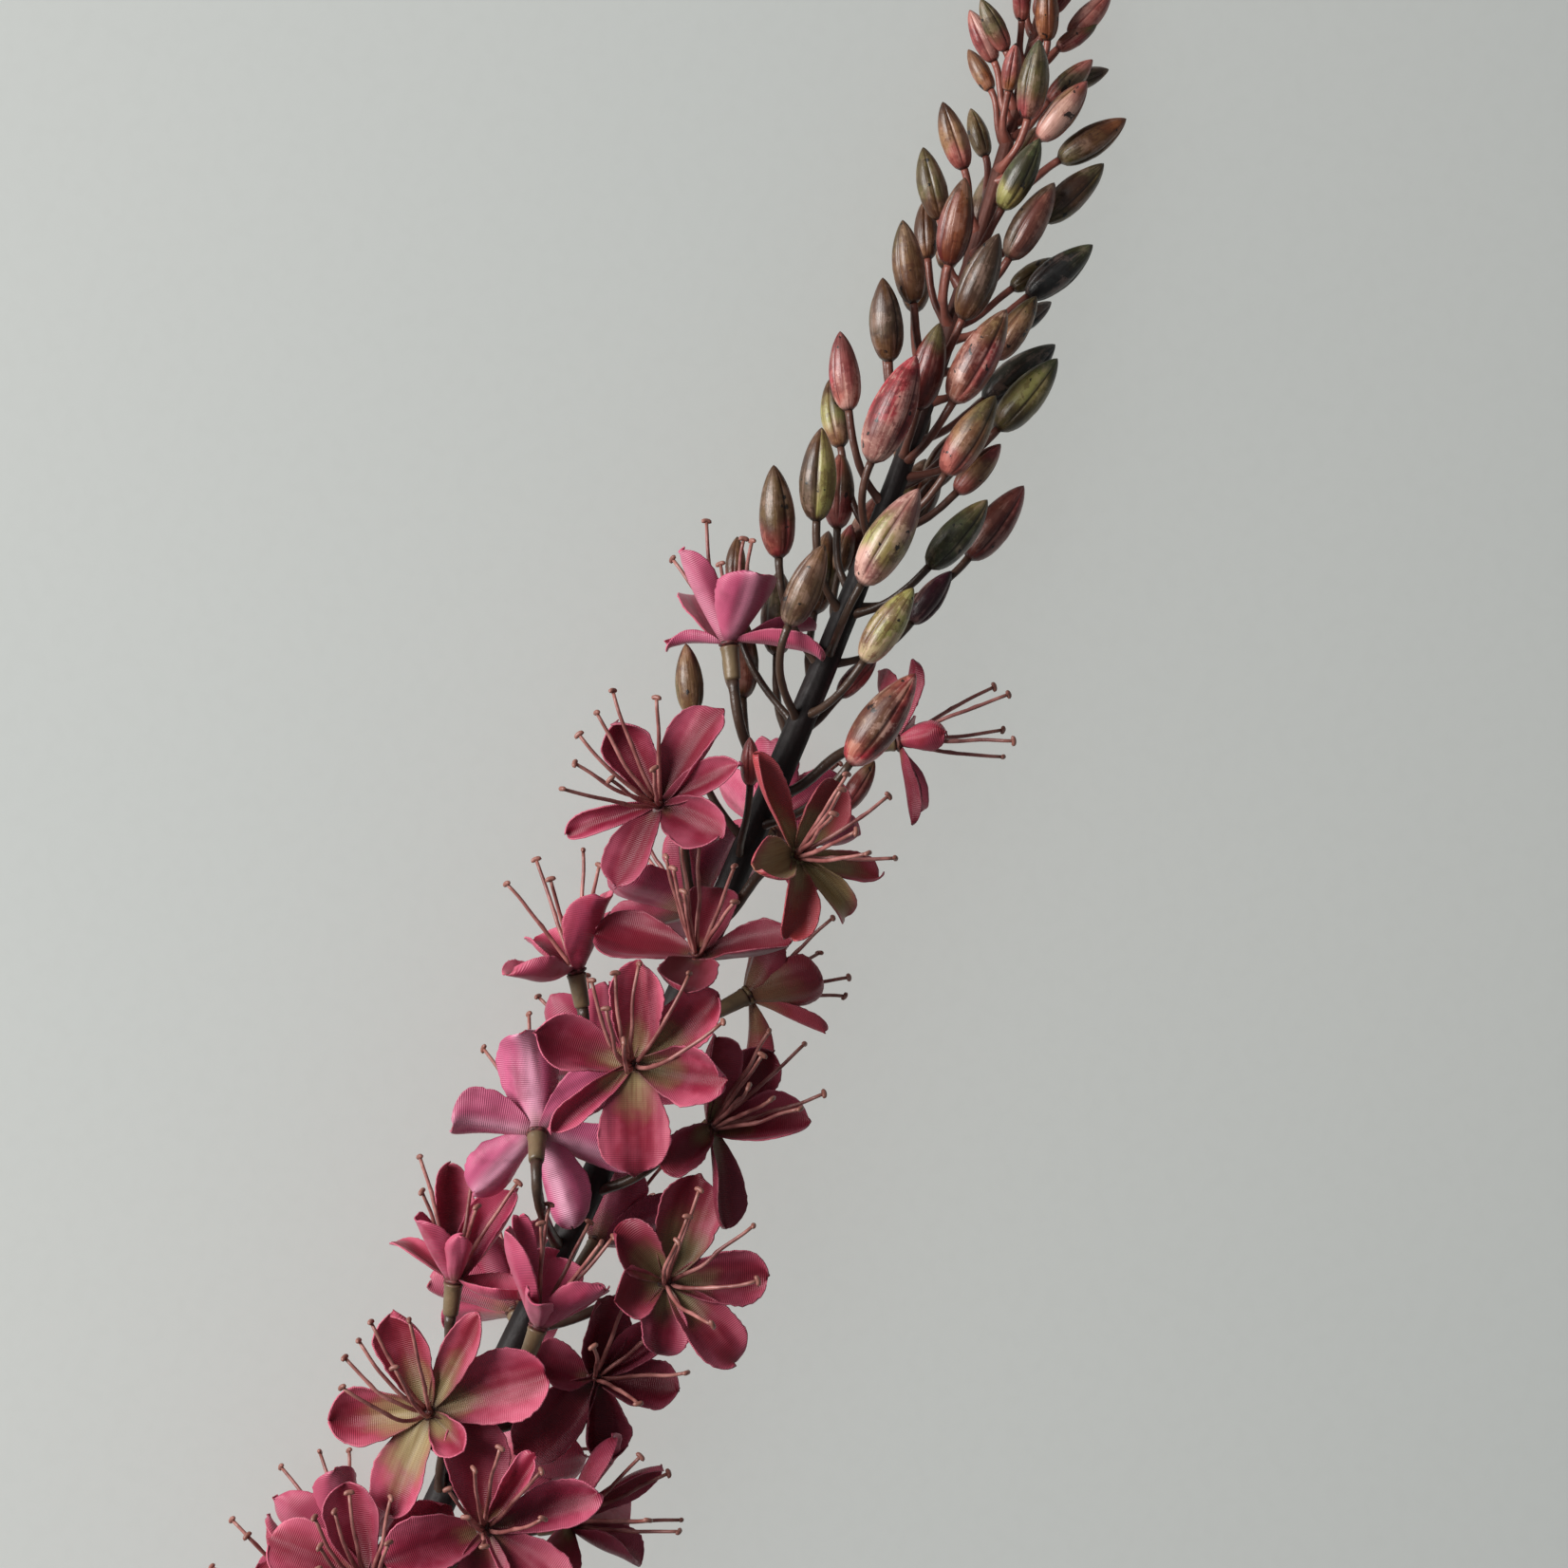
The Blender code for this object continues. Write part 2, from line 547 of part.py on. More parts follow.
def seated(row, seat, petal):
    return dict(petal, seat=seat, axis=bloom_axis(row), centre=bloom_centre(row))


def bloom_axis(row):
    return heading(row["along"], row["aside"], row["above"])


def bloom_centre(row):
    return place(row["station"], row["side"], row["up"])


def bloom_stalk(row, bands):
    """The path of a bloom's stalk, and the ends of the sleeve that it runs into."""
    axis = bloom_axis(row)
    top = bloom_centre(row) - axis * NODE_GAP
    foot = top - axis * SLEEVE_LENGTH
    station = root_station(foot.x, row["side"] * BLOOM_ROOT_SHARE, row["up"] * BLOOM_ROOT_SHARE)
    return stalk_path(foot, axis, station, BLOOM_SPREAD, bands), foot, top


def sleeve_tube(row):
    """A bloom's stalk with the sleeve that it ends in, just short of the petals' hub."""
    path, foot, top = bloom_stalk(row, STALK_BANDS)
    radii = [BLOOM_STALK_RADIUS] * len(path)
    for share, radius in ((0.1, SLEEVE_FOOT_RADIUS), (1.0, SLEEVE_TOP_RADIUS)):
        path.append(foot.lerp(top, share))
        radii.append(radius)
    return tube(path, radii, STALK_SIDES)


def stem_tube():
    path, radii = [], []
    for k in range(STEM_RINGS):
        station = STEM_START + (STEM_END - STEM_START) * k / (STEM_RINGS - 1)
        path.append(place(station))
        radii.append(along_table(STEM_RADII, station))
    return tube(path, radii, STEM_SIDES)


def hub_corners(row):
    """The lower and upper corners of the six-sided hub, one corner between each two petals."""
    axis, centre = bloom_axis(row), bloom_centre(row)
    first, second = across(axis)
    lower = []
    for k in range(PETALS_PER_BLOOM):
        a = math.radians(row["turn"] + SEAT_ANGLE * (k - 0.5))
        lower.append(centre + HUB_RADIUS * (math.cos(a) * first + math.sin(a) * second))
    return lower, [corner + axis * HUB_HEIGHT for corner in lower]


def bloom_mesh(row, petals):
    """The hub and its petals as one closed mesh: each petal grows out of one side of the hub."""
    lower, upper = hub_corners(row)
    sides = PETALS_PER_BLOOM
    verts = lower + upper
    faces = [tuple(reversed(range(sides))), tuple(range(sides, 2 * sides))]
    grown = {petal["seat"]: petal for petal in petals}
    for k in range(sides):
        left, right = k, (k + 1) % sides
        if k not in grown:
            faces.append((left, right, right + sides, left + sides))
            continue
        tops, bottoms, rows = sheet_points(grown[k], 0.0)
        above, below = [[left + sides, right + sides]], [[left, right]]
        for places in rows[1:]:
            above.append(list(range(len(verts), len(verts) + len(places))))
            verts += [tops[i] for i in places]
            below.append(list(range(len(verts), len(verts) + len(places))))
            verts += [bottoms[i] for i in places]
        faces += shell_faces(above, below, open_root=True)
    return verts, faces


def knob_mesh(row, paths):
    """The knob and its filaments as one closed mesh: each filament grows out of one side of it."""
    axis = bloom_axis(row)
    foot = bloom_centre(row) + axis * (HUB_HEIGHT + NODE_GAP)
    sides = FILAMENTS_PER_BLOOM
    verts = []
    for height, radius, half in ((0.0, KNOB_RADIUS, 0.0), (KNOB_HEIGHT, 0.6 * KNOB_RADIUS, 0.5)):
        for k in range(sides):
            verts.append(foot + axis * height + radius * spoke(row, (k + half) * 360.0 / sides))
    faces = [tuple(reversed(range(sides))), tuple(range(sides, 2 * sides))]
    for k in range(sides):
        after = (k + 1) % sides
        faces.append((after, after + sides, k + sides))
        ring = (k, after, k + sides)
        if paths.get(k) is None:
            faces.append(ring)
            continue
        path, radii = filament_rings(paths[k])
        hold = verts[ring[0]] - (verts[ring[0]] + verts[ring[1]] + verts[ring[2]]) / 3
        for i in range(1, len(path)):
            ahead = (path[min(i + 1, len(path) - 1)] - path[i - 1]).normalized()
            hold = (hold - ahead * hold.dot(ahead)).normalized()
            other = ahead.cross(hold)
            following = tuple(range(len(verts), len(verts) + 3))
            for a in (0.0, 2 * math.pi / 3, 4 * math.pi / 3):
                point = path[i] + radii[i] * (math.cos(a) * hold + math.sin(a) * other)
                verts.append(above_floor(point))
            for m in range(3):
                n = (m + 1) % 3
                faces.append((ring[m], ring[n], following[n]))
                faces.append((ring[m], following[n], following[m]))
            ring = following
        faces.append(ring)
    return verts, faces


def spoke(row, angle):
    """A unit vector square to the bloom's heading, turned by an angle round it."""
    first, second = across(bloom_axis(row))
    return math.cos(math.radians(angle)) * first + math.sin(math.radians(angle)) * second


def crosses_itself(solid):
    """Whether faces that share no corner run into each other."""
    faces = solid[1]
    whole = tree(solid)
    return any(not set(faces[a]) & set(faces[b]) for a, b in whole.overlap(whole) if a < b)


def petal_choices():
    """Changes of opening, turn, length and width, from the least to the greatest."""
    step, swing = OPENING_STEP, TURN_STEP
    choices = []
    for opening in range(-6 * step, 7 * step, step):
        for turn in range(-2 * swing, 3 * swing, swing):
            for length in (1.0, 0.9, 0.8, 0.7, 0.6):
                for width in (1.0, 0.85, 0.7, 0.55):
                    cost = abs(opening) / step + abs(turn) / swing
                    cost += (1 - length) * SHORTER_COST + (1 - width) * NARROWER_COST
                    choices.append((cost, opening, turn, length, width))
    return sorted(choices)


def tree(solid):
    return BVHTree.FromPolygons(solid[0], solid[1])


def ball(solid):
    """A ball round a solid, as its centre and radius."""
    verts = solid[0]
    centre = sum(verts, Vector()) / len(verts)
    return centre, max((v - centre).length for v in verts)


class Crowd:
    """The solids placed so far, asked whether one more would touch them."""

    def __init__(self):
        self.members = []

    def add(self, solid, owner=None):
        self.members.append((owner, ball(solid), tree(solid)))

    def touches(self, solid, owner=None):
        centre, radius = ball(solid)
        mine = tree(solid)
        for name, (other, reach), standing in self.members:
            if name is not None and name == owner:
                continue
            if (other - centre).length < reach + radius and mine.overlap(standing):
                return True
        return False


def fit_petal(row, petal, sisters, crowd, choices):
    """The petal as near its given shape as its neighbours and the surface below allow."""
    for _, opening, turn, length, width in choices:
        lean = petal["opening"] + opening
        if not LEAST_OPENING <= lean + petal["curl"] / 2 <= MOST_OPENING:
            continue
        tried = dict(petal, opening=lean, turn=petal["turn"] + turn)
        tried["length"] = petal["length"] * length
        tried["width"] = petal["width"] * width
        low = min(petal_frame(tried, u, v)[0].z for u, places in PETAL_ROWS for v in places)
        if low < -MOST_PRESSED or crowd.touches(blade(tried, CLEARANCE), ("petals", row["number"])):
            continue
        if not crosses_itself(bloom_mesh(row, sisters + [tried])):
            return tried
    return None


def petals_of(row, crowd, choices):
    petals = []
    for petal in row["petals"]:
        fitted = fit_petal(row, petal, petals, crowd, choices)
        if fitted:
            petals.append(fitted)
            crowd.add(blade(fitted), ("petals", row["number"]))
    return petals


def filament_path(row, seat, shift, spread, sweep, length, steps):
    """A filament from its side of the knob, curving out and towards the tip."""
    axis = bloom_axis(row)
    angle = (seat + 0.5) * 360.0 / FILAMENTS_PER_BLOOM
    outward = spoke(row, angle + shift)
    start = bloom_centre(row) + axis * (HUB_HEIGHT + NODE_GAP + 0.4 * KNOB_HEIGHT)
    start = start + spoke(row, angle) * KNOB_RADIUS * 0.75
    over = Vector((axis.x + SWEEP_TO_TIP, axis.y, 0.0)).normalized()
    aim = (axis * (1 - sweep) + over * sweep + outward * spread).normalized()
    bow = start + (axis + outward * (0.3 + 0.3 * spread)).normalized() * length * 0.45
    path = [bezier([start, bow, start + aim * length], k / steps) for k in range(steps + 1)]
    return [path[0]] + [above_floor(p, ANTHER_RADIUS) for p in path[1:]]


def filament_rings(path):
    """The points and radii of a filament with the flat anther that closes it."""
    last = path[-1] + (path[-1] - path[-2]).normalized() * ANTHER_LENGTH
    return path + [last], [FILAMENT_RADIUS] * len(path) + [ANTHER_RADIUS]


def filament_tube(path, spare=0.0):
    path, radii = filament_rings(path)
    return tube(path, [radius + spare for radius in radii], FILAMENT_SIDES)


def filaments_of(row, crowd):
    """The filaments that find room, by the side of the knob they grow from."""
    rng = random.Random(900 + row["number"])
    paths = {}
    for seat in range(FILAMENTS_PER_BLOOM):
        wanted = rng.uniform(0.25, 0.6)
        length = FILAMENT_LENGTH * rng.uniform(0.85, 1.1)
        for shift, spread, share in filament_choices(wanted):
            path = filament_path(row, seat, shift, spread, row["sweep"], length * share, FILAMENT_BANDS)
            if crowd.touches(filament_tube(path, CLEARANCE), ("stamens", row["number"])):
                continue
            if not crosses_itself(knob_mesh(row, {**paths, seat: path})):
                paths[seat] = path
                crowd.add(filament_tube(path), ("stamens", row["number"]))
                break
    return paths


def filament_choices(wanted):
    choices = []
    for shift in range(-2, 3):
        for more in range(-2, 4):
            for share in (1.0, 0.85, 0.7, 0.55):
                cost = abs(shift) + abs(more) + (1 - share) * SHORTER_FILAMENT_COST
                spread = max(0.0, wanted + more * SPREAD_STEP)
                choices.append((cost, shift * FILAMENT_STEP, spread, share))
    return [choice[1:] for choice in sorted(choices)]


def layout():
    """Every solid of the spike before it is fused, by node."""
    crowd = Crowd()
    stem = [stem_tube()]
    stem += [bud_tube(*row) for row in list(BUDS) + under_buds() + tip_buds()]
    rows = bloom_rows()
    stem += [sleeve_tube(row) for row in rows]
    for solid in stem:
        crowd.add(solid)
    for row in rows:
        crowd.add(bloom_mesh(row, []), ("petals", row["number"]))
        crowd.add(knob_mesh(row, {}), ("stamens", row["number"]))
    choices = petal_choices()
    petals = [petals_of(row, crowd, choices) for row in rows]
    filaments = [filaments_of(row, crowd) for row in rows]
    return {"stem": stem, "rows": rows, "petals": petals, "filaments": filaments}


def clear_scene():
    for obj in list(bpy.data.objects):
        bpy.data.objects.remove(obj, do_unlink=True)


def material(kind, roughness):
    mat = bpy.data.materials.new(kind)
    mat.use_nodes = True
    shader = mat.node_tree.nodes["Principled BSDF"]
    shader.inputs["Base Color"].default_value = COLOURS[kind]
    shader.inputs["Roughness"].default_value = roughness
    shader.inputs["Metallic"].default_value = 0.0
    return mat


def mesh_object(name, solid, shift):
    made = bmesh.new()
    verts = [made.verts.new((v + shift) * MM) for v in solid[0]]
    for face in solid[1]:
        made.faces.new([verts[i] for i in face])
    bmesh.ops.recalc_face_normals(made, faces=made.faces)
    mesh = bpy.data.meshes.new(name)
    made.to_mesh(mesh)
    made.free()
    return bpy.data.objects.new(name, mesh)


def finish_object(obj, mat):
    obj.data.materials.clear()
    obj.data.materials.append(mat)
    obj.data.shade_smooth()
    obj.data.set_sharp_from_angle(angle=math.radians(SHARP_ANGLE))


def fuse(name, solids, shift):
    """One closed body from solids that run into each other."""
    base = mesh_object(name, solids[0], shift)
    bpy.context.scene.collection.objects.link(base)
    rest = bpy.data.collections.new(name + "_rest")
    bpy.context.scene.collection.children.link(rest)
    for k, solid in enumerate(solids[1:]):
        rest.objects.link(mesh_object(f"{name}_{k}", solid, shift))
    union = base.modifiers.new("union", "BOOLEAN")
    union.operation = "UNION"
    union.operand_type = "COLLECTION"
    union.collection = rest
    union.solver = "MANIFOLD"
    bpy.context.view_layer.update()
    graph = bpy.context.evaluated_depsgraph_get()
    joined = bpy.data.meshes.new_from_object(base.evaluated_get(graph))
    base.modifiers.clear()
    base.data = joined
    for obj in list(rest.objects):
        bpy.data.objects.remove(obj, do_unlink=True)
    bpy.data.collections.remove(rest)
    return base


def centring_shift(spike):
    """The move that puts the origin at the middle of the bottom of the whole spike."""
    verts = [v for solid in spike["stem"] for v in solid[0]]
    for row, petals, paths in zip(spike["rows"], spike["petals"], spike["filaments"]):
        verts += bloom_mesh(row, petals)[0] + knob_mesh(row, paths)[0]
    low = [min(v[i] for v in verts) for i in range(3)]
    high = [max(v[i] for v in verts) for i in range(3)]
    return Vector((-(low[0] + high[0]) / 2, -(low[1] + high[1]) / 2, -low[2]))


def main():
    clear_scene()
    spike = layout()
    shift = centring_shift(spike)
    stem_look, petal_look = material("stem", 0.45), material("petals", 0.55)
    stamen_look = material("stamens", 0.5)
    finish_object(fuse("stem_and_buds", spike["stem"], shift), stem_look)
    for row, petals, paths in zip(spike["rows"], spike["petals"], spike["filaments"]):
        label = f"bloom_{row['number']:02d}"
        sheets = mesh_object(label + "_petals", bloom_mesh(row, petals), shift)
        threads = mesh_object(label + "_stamens", knob_mesh(row, paths), shift)
        for obj, look in ((sheets, petal_look), (threads, stamen_look)):
            bpy.context.scene.collection.objects.link(obj)
            finish_object(obj, look)


main()
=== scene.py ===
"""The look of the artificial foxtail lily spike, built round its solids.

Lengths are in millimetres and angles in degrees until the meshes are made, which are in metres.
The first half repeats how the solids place each stalk, bud, petal and stamen, so that the finer
pieces here grow in the same places.
"""

import math
import random
from itertools import product

import bpy
import numpy as np
from mathutils import Matrix, Vector, noise
from mathutils.bvhtree import BVHTree


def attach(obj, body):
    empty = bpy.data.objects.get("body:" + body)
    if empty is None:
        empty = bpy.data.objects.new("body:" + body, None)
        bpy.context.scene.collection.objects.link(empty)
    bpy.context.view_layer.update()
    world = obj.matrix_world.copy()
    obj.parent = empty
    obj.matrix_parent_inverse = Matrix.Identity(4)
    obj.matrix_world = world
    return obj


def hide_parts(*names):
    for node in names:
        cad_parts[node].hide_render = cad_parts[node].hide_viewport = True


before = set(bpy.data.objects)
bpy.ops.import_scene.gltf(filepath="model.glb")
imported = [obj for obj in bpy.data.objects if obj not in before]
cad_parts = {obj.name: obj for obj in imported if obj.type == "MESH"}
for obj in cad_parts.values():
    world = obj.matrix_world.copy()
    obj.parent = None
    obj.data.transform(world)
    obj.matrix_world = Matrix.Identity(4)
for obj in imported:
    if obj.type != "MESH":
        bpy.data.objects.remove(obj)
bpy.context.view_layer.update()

MM = 0.001

# Main stem
STEM_START = -52.0
STEM_END = 401.0
STEM_RINGS = 16
STEM_SIDES = 8
STEM_RADII = ((-52.0, 3.9), (60.0, 3.7), (215.0, 3.2), (300.0, 2.3), (385.0, 1.4), (401.0, 1.1))
STEM_SLANT = 0.057
STEM_ARCH = 9.2e-5
STEM_RETURN = 6.05e-7
STEM_RISE = 33.0
STEM_DROOP = 23.5
DROOP_FROM = 150.0
DROOP_LENGTH = 255.0

# Stalks, buds and sleeves
STALK_SIDES = 5
STALK_BANDS = 3
SHORT_STALK_BANDS = 2
SHORT_BUD = 17.5
STALK_RADIUS = 0.95
TIP_STALK_RADIUS = 0.7
BLOOM_STALK_RADIUS = 1.25
FULL_BUD = 20.0
ROOT_BACK = 6.0
ROOT_SLANT = 0.7
BLOOM_ROOT_SHARE = 0.8
LEAVING_FORWARD = Vector((0.35, 0.0, 0.0))
LEAVING_OUT = 0.8
BUD_SPREAD = 0.45
BLOOM_SPREAD = 0.5
ARRIVING = 0.4
SLEEVE_LENGTH = 8.0
SLEEVE_FOOT_RADIUS = 1.65
SLEEVE_TOP_RADIUS = 2.1
BUD_GIRTH = 0.198
BUD_RINGS = ((0.07, 0.58), (0.36, 1.0), (0.74, 0.74), (1.0, 0.0))

# Blooms
HUB_RADIUS = 2.1
HUB_HEIGHT = 1.2
NODE_GAP = 0.3
PETALS_PER_BLOOM = 6
SEAT_ANGLE = 60.0
SEAT_SWING = 20.0
INNER_LEAN = 4.0
OUTER_LEAN = 5.0
PETAL_LENGTH = 20.5
PETAL_WIDTH = 14.0
PETAL_THICKNESS = 0.72
PETAL_ROOT_RADIUS = 1.8
PETAL_ROOT_HEIGHT = 0.6
PETAL_ROWS = ((0.0, (-1, 1)), (0.42, (-1, 0, 1)), (0.76, (-1, 0, 1)), (1.0, (-1, 1)))
PETAL_OUTLINE = (
    (0.0, 0.15), (0.2, 0.38), (0.42, 0.68), (0.6, 0.93), (0.76, 1.0), (0.9, 0.84), (1.0, 0.48)
)

# Stamens
KNOB_RADIUS = 1.3
KNOB_HEIGHT = 1.3
KNOB_TAPER = 0.6
FILAMENTS_PER_BLOOM = 5
FILAMENT_LENGTH = 24.5
FILAMENT_SIDES = 3
FILAMENT_BANDS = 2
FILAMENT_FOOT_OUT = 0.75
FILAMENT_FOOT_UP = 0.4
SWEEP_TO_TIP = 0.3
BOW_AT = 0.45
BOW_OUT = 0.3
FILAMENT_RADIUS = 0.5
ANTHER_RADIUS = 1.15
ANTHER_LENGTH = 1.1

# Room that neighbours keep, and how far a petal may be pressed flat by the surface below
CLEARANCE = 0.35
MOST_PRESSED = 3.0
LEAST_OPENING = 14
MOST_OPENING = 124

# What each change to a petal or a filament costs, where one must be bent clear of another
OPENING_STEP = 7
MOST_OPENING_STEPS = 6
TURN_STEP = 8
MOST_TURN_STEPS = 2
LENGTH_SHARES = (1.0, 0.9, 0.8, 0.7, 0.6)
WIDTH_SHARES = (1.0, 0.85, 0.7, 0.55)
SHORTER_COST = 14.0
NARROWER_COST = 12.0
FILAMENT_STEP = 14
MOST_FILAMENT_STEPS = 2
SPREAD_STEP = 0.15
SPREAD_STEPS = range(-2, 4)
FILAMENT_SHARES = (1.0, 0.85, 0.7, 0.55)
SHORTER_FILAMENT_COST = 8.0

# Seeded differences, as the least and greatest of each: petals out of view, and all filaments
PETAL_SPREAD = {
    "turn": (-5, 5), "opening": (-6, 6), "curl": (-26, 40), "cup": (0.14, 0.46),
    "bend": (-1.6, 1.6), "length": (0.92, 1.06), "width": (0.8, 1.04),
}
FILAMENT_SPREAD = (0.25, 0.6)
FILAMENT_LENGTHS = (0.85, 1.1)
PETAL_SEED = 500
FILAMENT_SEED = 900

# Each bloom: station, side and height over the stem line; its heading (along, side, up);
# how far its petals open; the turn of its first petal; how far its stamens sweep over; its size.
BLOOMS = (
    (130, -3, 27, 0.12, -0.04, 1.00, 77, 19, 0.60, 1.0),
    (86, 25, 15, 0.19, 0.22, 0.92, 78, 40, 0.45, 1.0),
    (40, -11, 24, -0.02, -0.32, 0.95, 76, 56, 0.55, 1.0),
    (186, -22, 17, 0.19, -0.46, 0.85, 72, 52, 0.45, 0.96),
    (187, 11, 21, 0.42, 0.45, 0.78, 68, 32, 0.30, 0.88),
    (20, 12, 24, 0.34, 0.03, 0.90, 62, 50, 0.25, 1.0),
    (0, -7, 26, 0.15, -0.17, 0.95, 72, 30, 0.45, 1.0),
    (106, -16, 17, 0.55, -0.25, -0.72, 80, 5, 0.0, 1.0),
    (226, -22, 4, 0.80, -0.43, -0.15, 55, 20, 0.0, 1.0),
    (157, 0, 15, 0.76, -0.25, 0.60, 55, 0, 0.15, 1.0),
    (122, 19, 13, 0.68, 0.48, 0.50, 62, 25, 0.15, 1.0),
    (66, 3, 19, 0.98, -0.03, 0.17, 38, 10, 0.0, 1.02),
    (67, -19, 8, 0.94, -0.26, 0.22, 40, 40, 0.0, 1.0),
    (220, 22, -2, 0.50, 0.82, -0.10, 70, 15, 0.1, 0.95),
    (143, -24, 5, 0.84, -0.53, 0.10, 48, 35, 0.1, 0.95),
    (57, 20, -1, 0.48, 0.28, 0.62, 62, 20, 0.0, 1.0),
    (25, 29, 4, 0.49, 0.66, 0.30, 55, 45, 0.1, 1.0),
    (152, 14, -7, 0.63, 0.55, -0.30, 62, 30, 0.0, 0.95),
    (-14, -15, 3, -0.05, -0.91, 0.20, 52, 10, 0.2, 1.0),
    (-27, 7, 24, 0.10, 0.15, 0.95, 70, 15, 0.3, 1.0),
    (-22, 24, 2, 0.30, 0.85, 0.10, 60, 50, 0.1, 1.0),
    (165, -5, -9, 0.55, -0.50, -0.45, 60, 10, 0.0, 1.0),
    (85, 7, -12, 0.70, 0.15, -0.45, 52, 0, 0.0, 1.0),
    (189, 3, -18, 0.55, 0.20, -0.60, 58, 40, 0.0, 0.95),
    (122, -9, -20, 0.50, -0.40, -0.55, 62, 30, 0.0, 1.0),
    (62, -3, -18, 0.45, -0.40, -0.55, 58, 50, 0.0, 0.95),
    (28, 7, -21, 0.50, 0.45, -0.50, 62, 20, 0.0, 1.0),
    (-5, -14, -19, 0.45, -0.55, -0.45, 62, 15, 0.0, 1.0),
    (-20, 10, -20, 0.40, 0.55, -0.45, 62, 40, 0.0, 1.0),
)

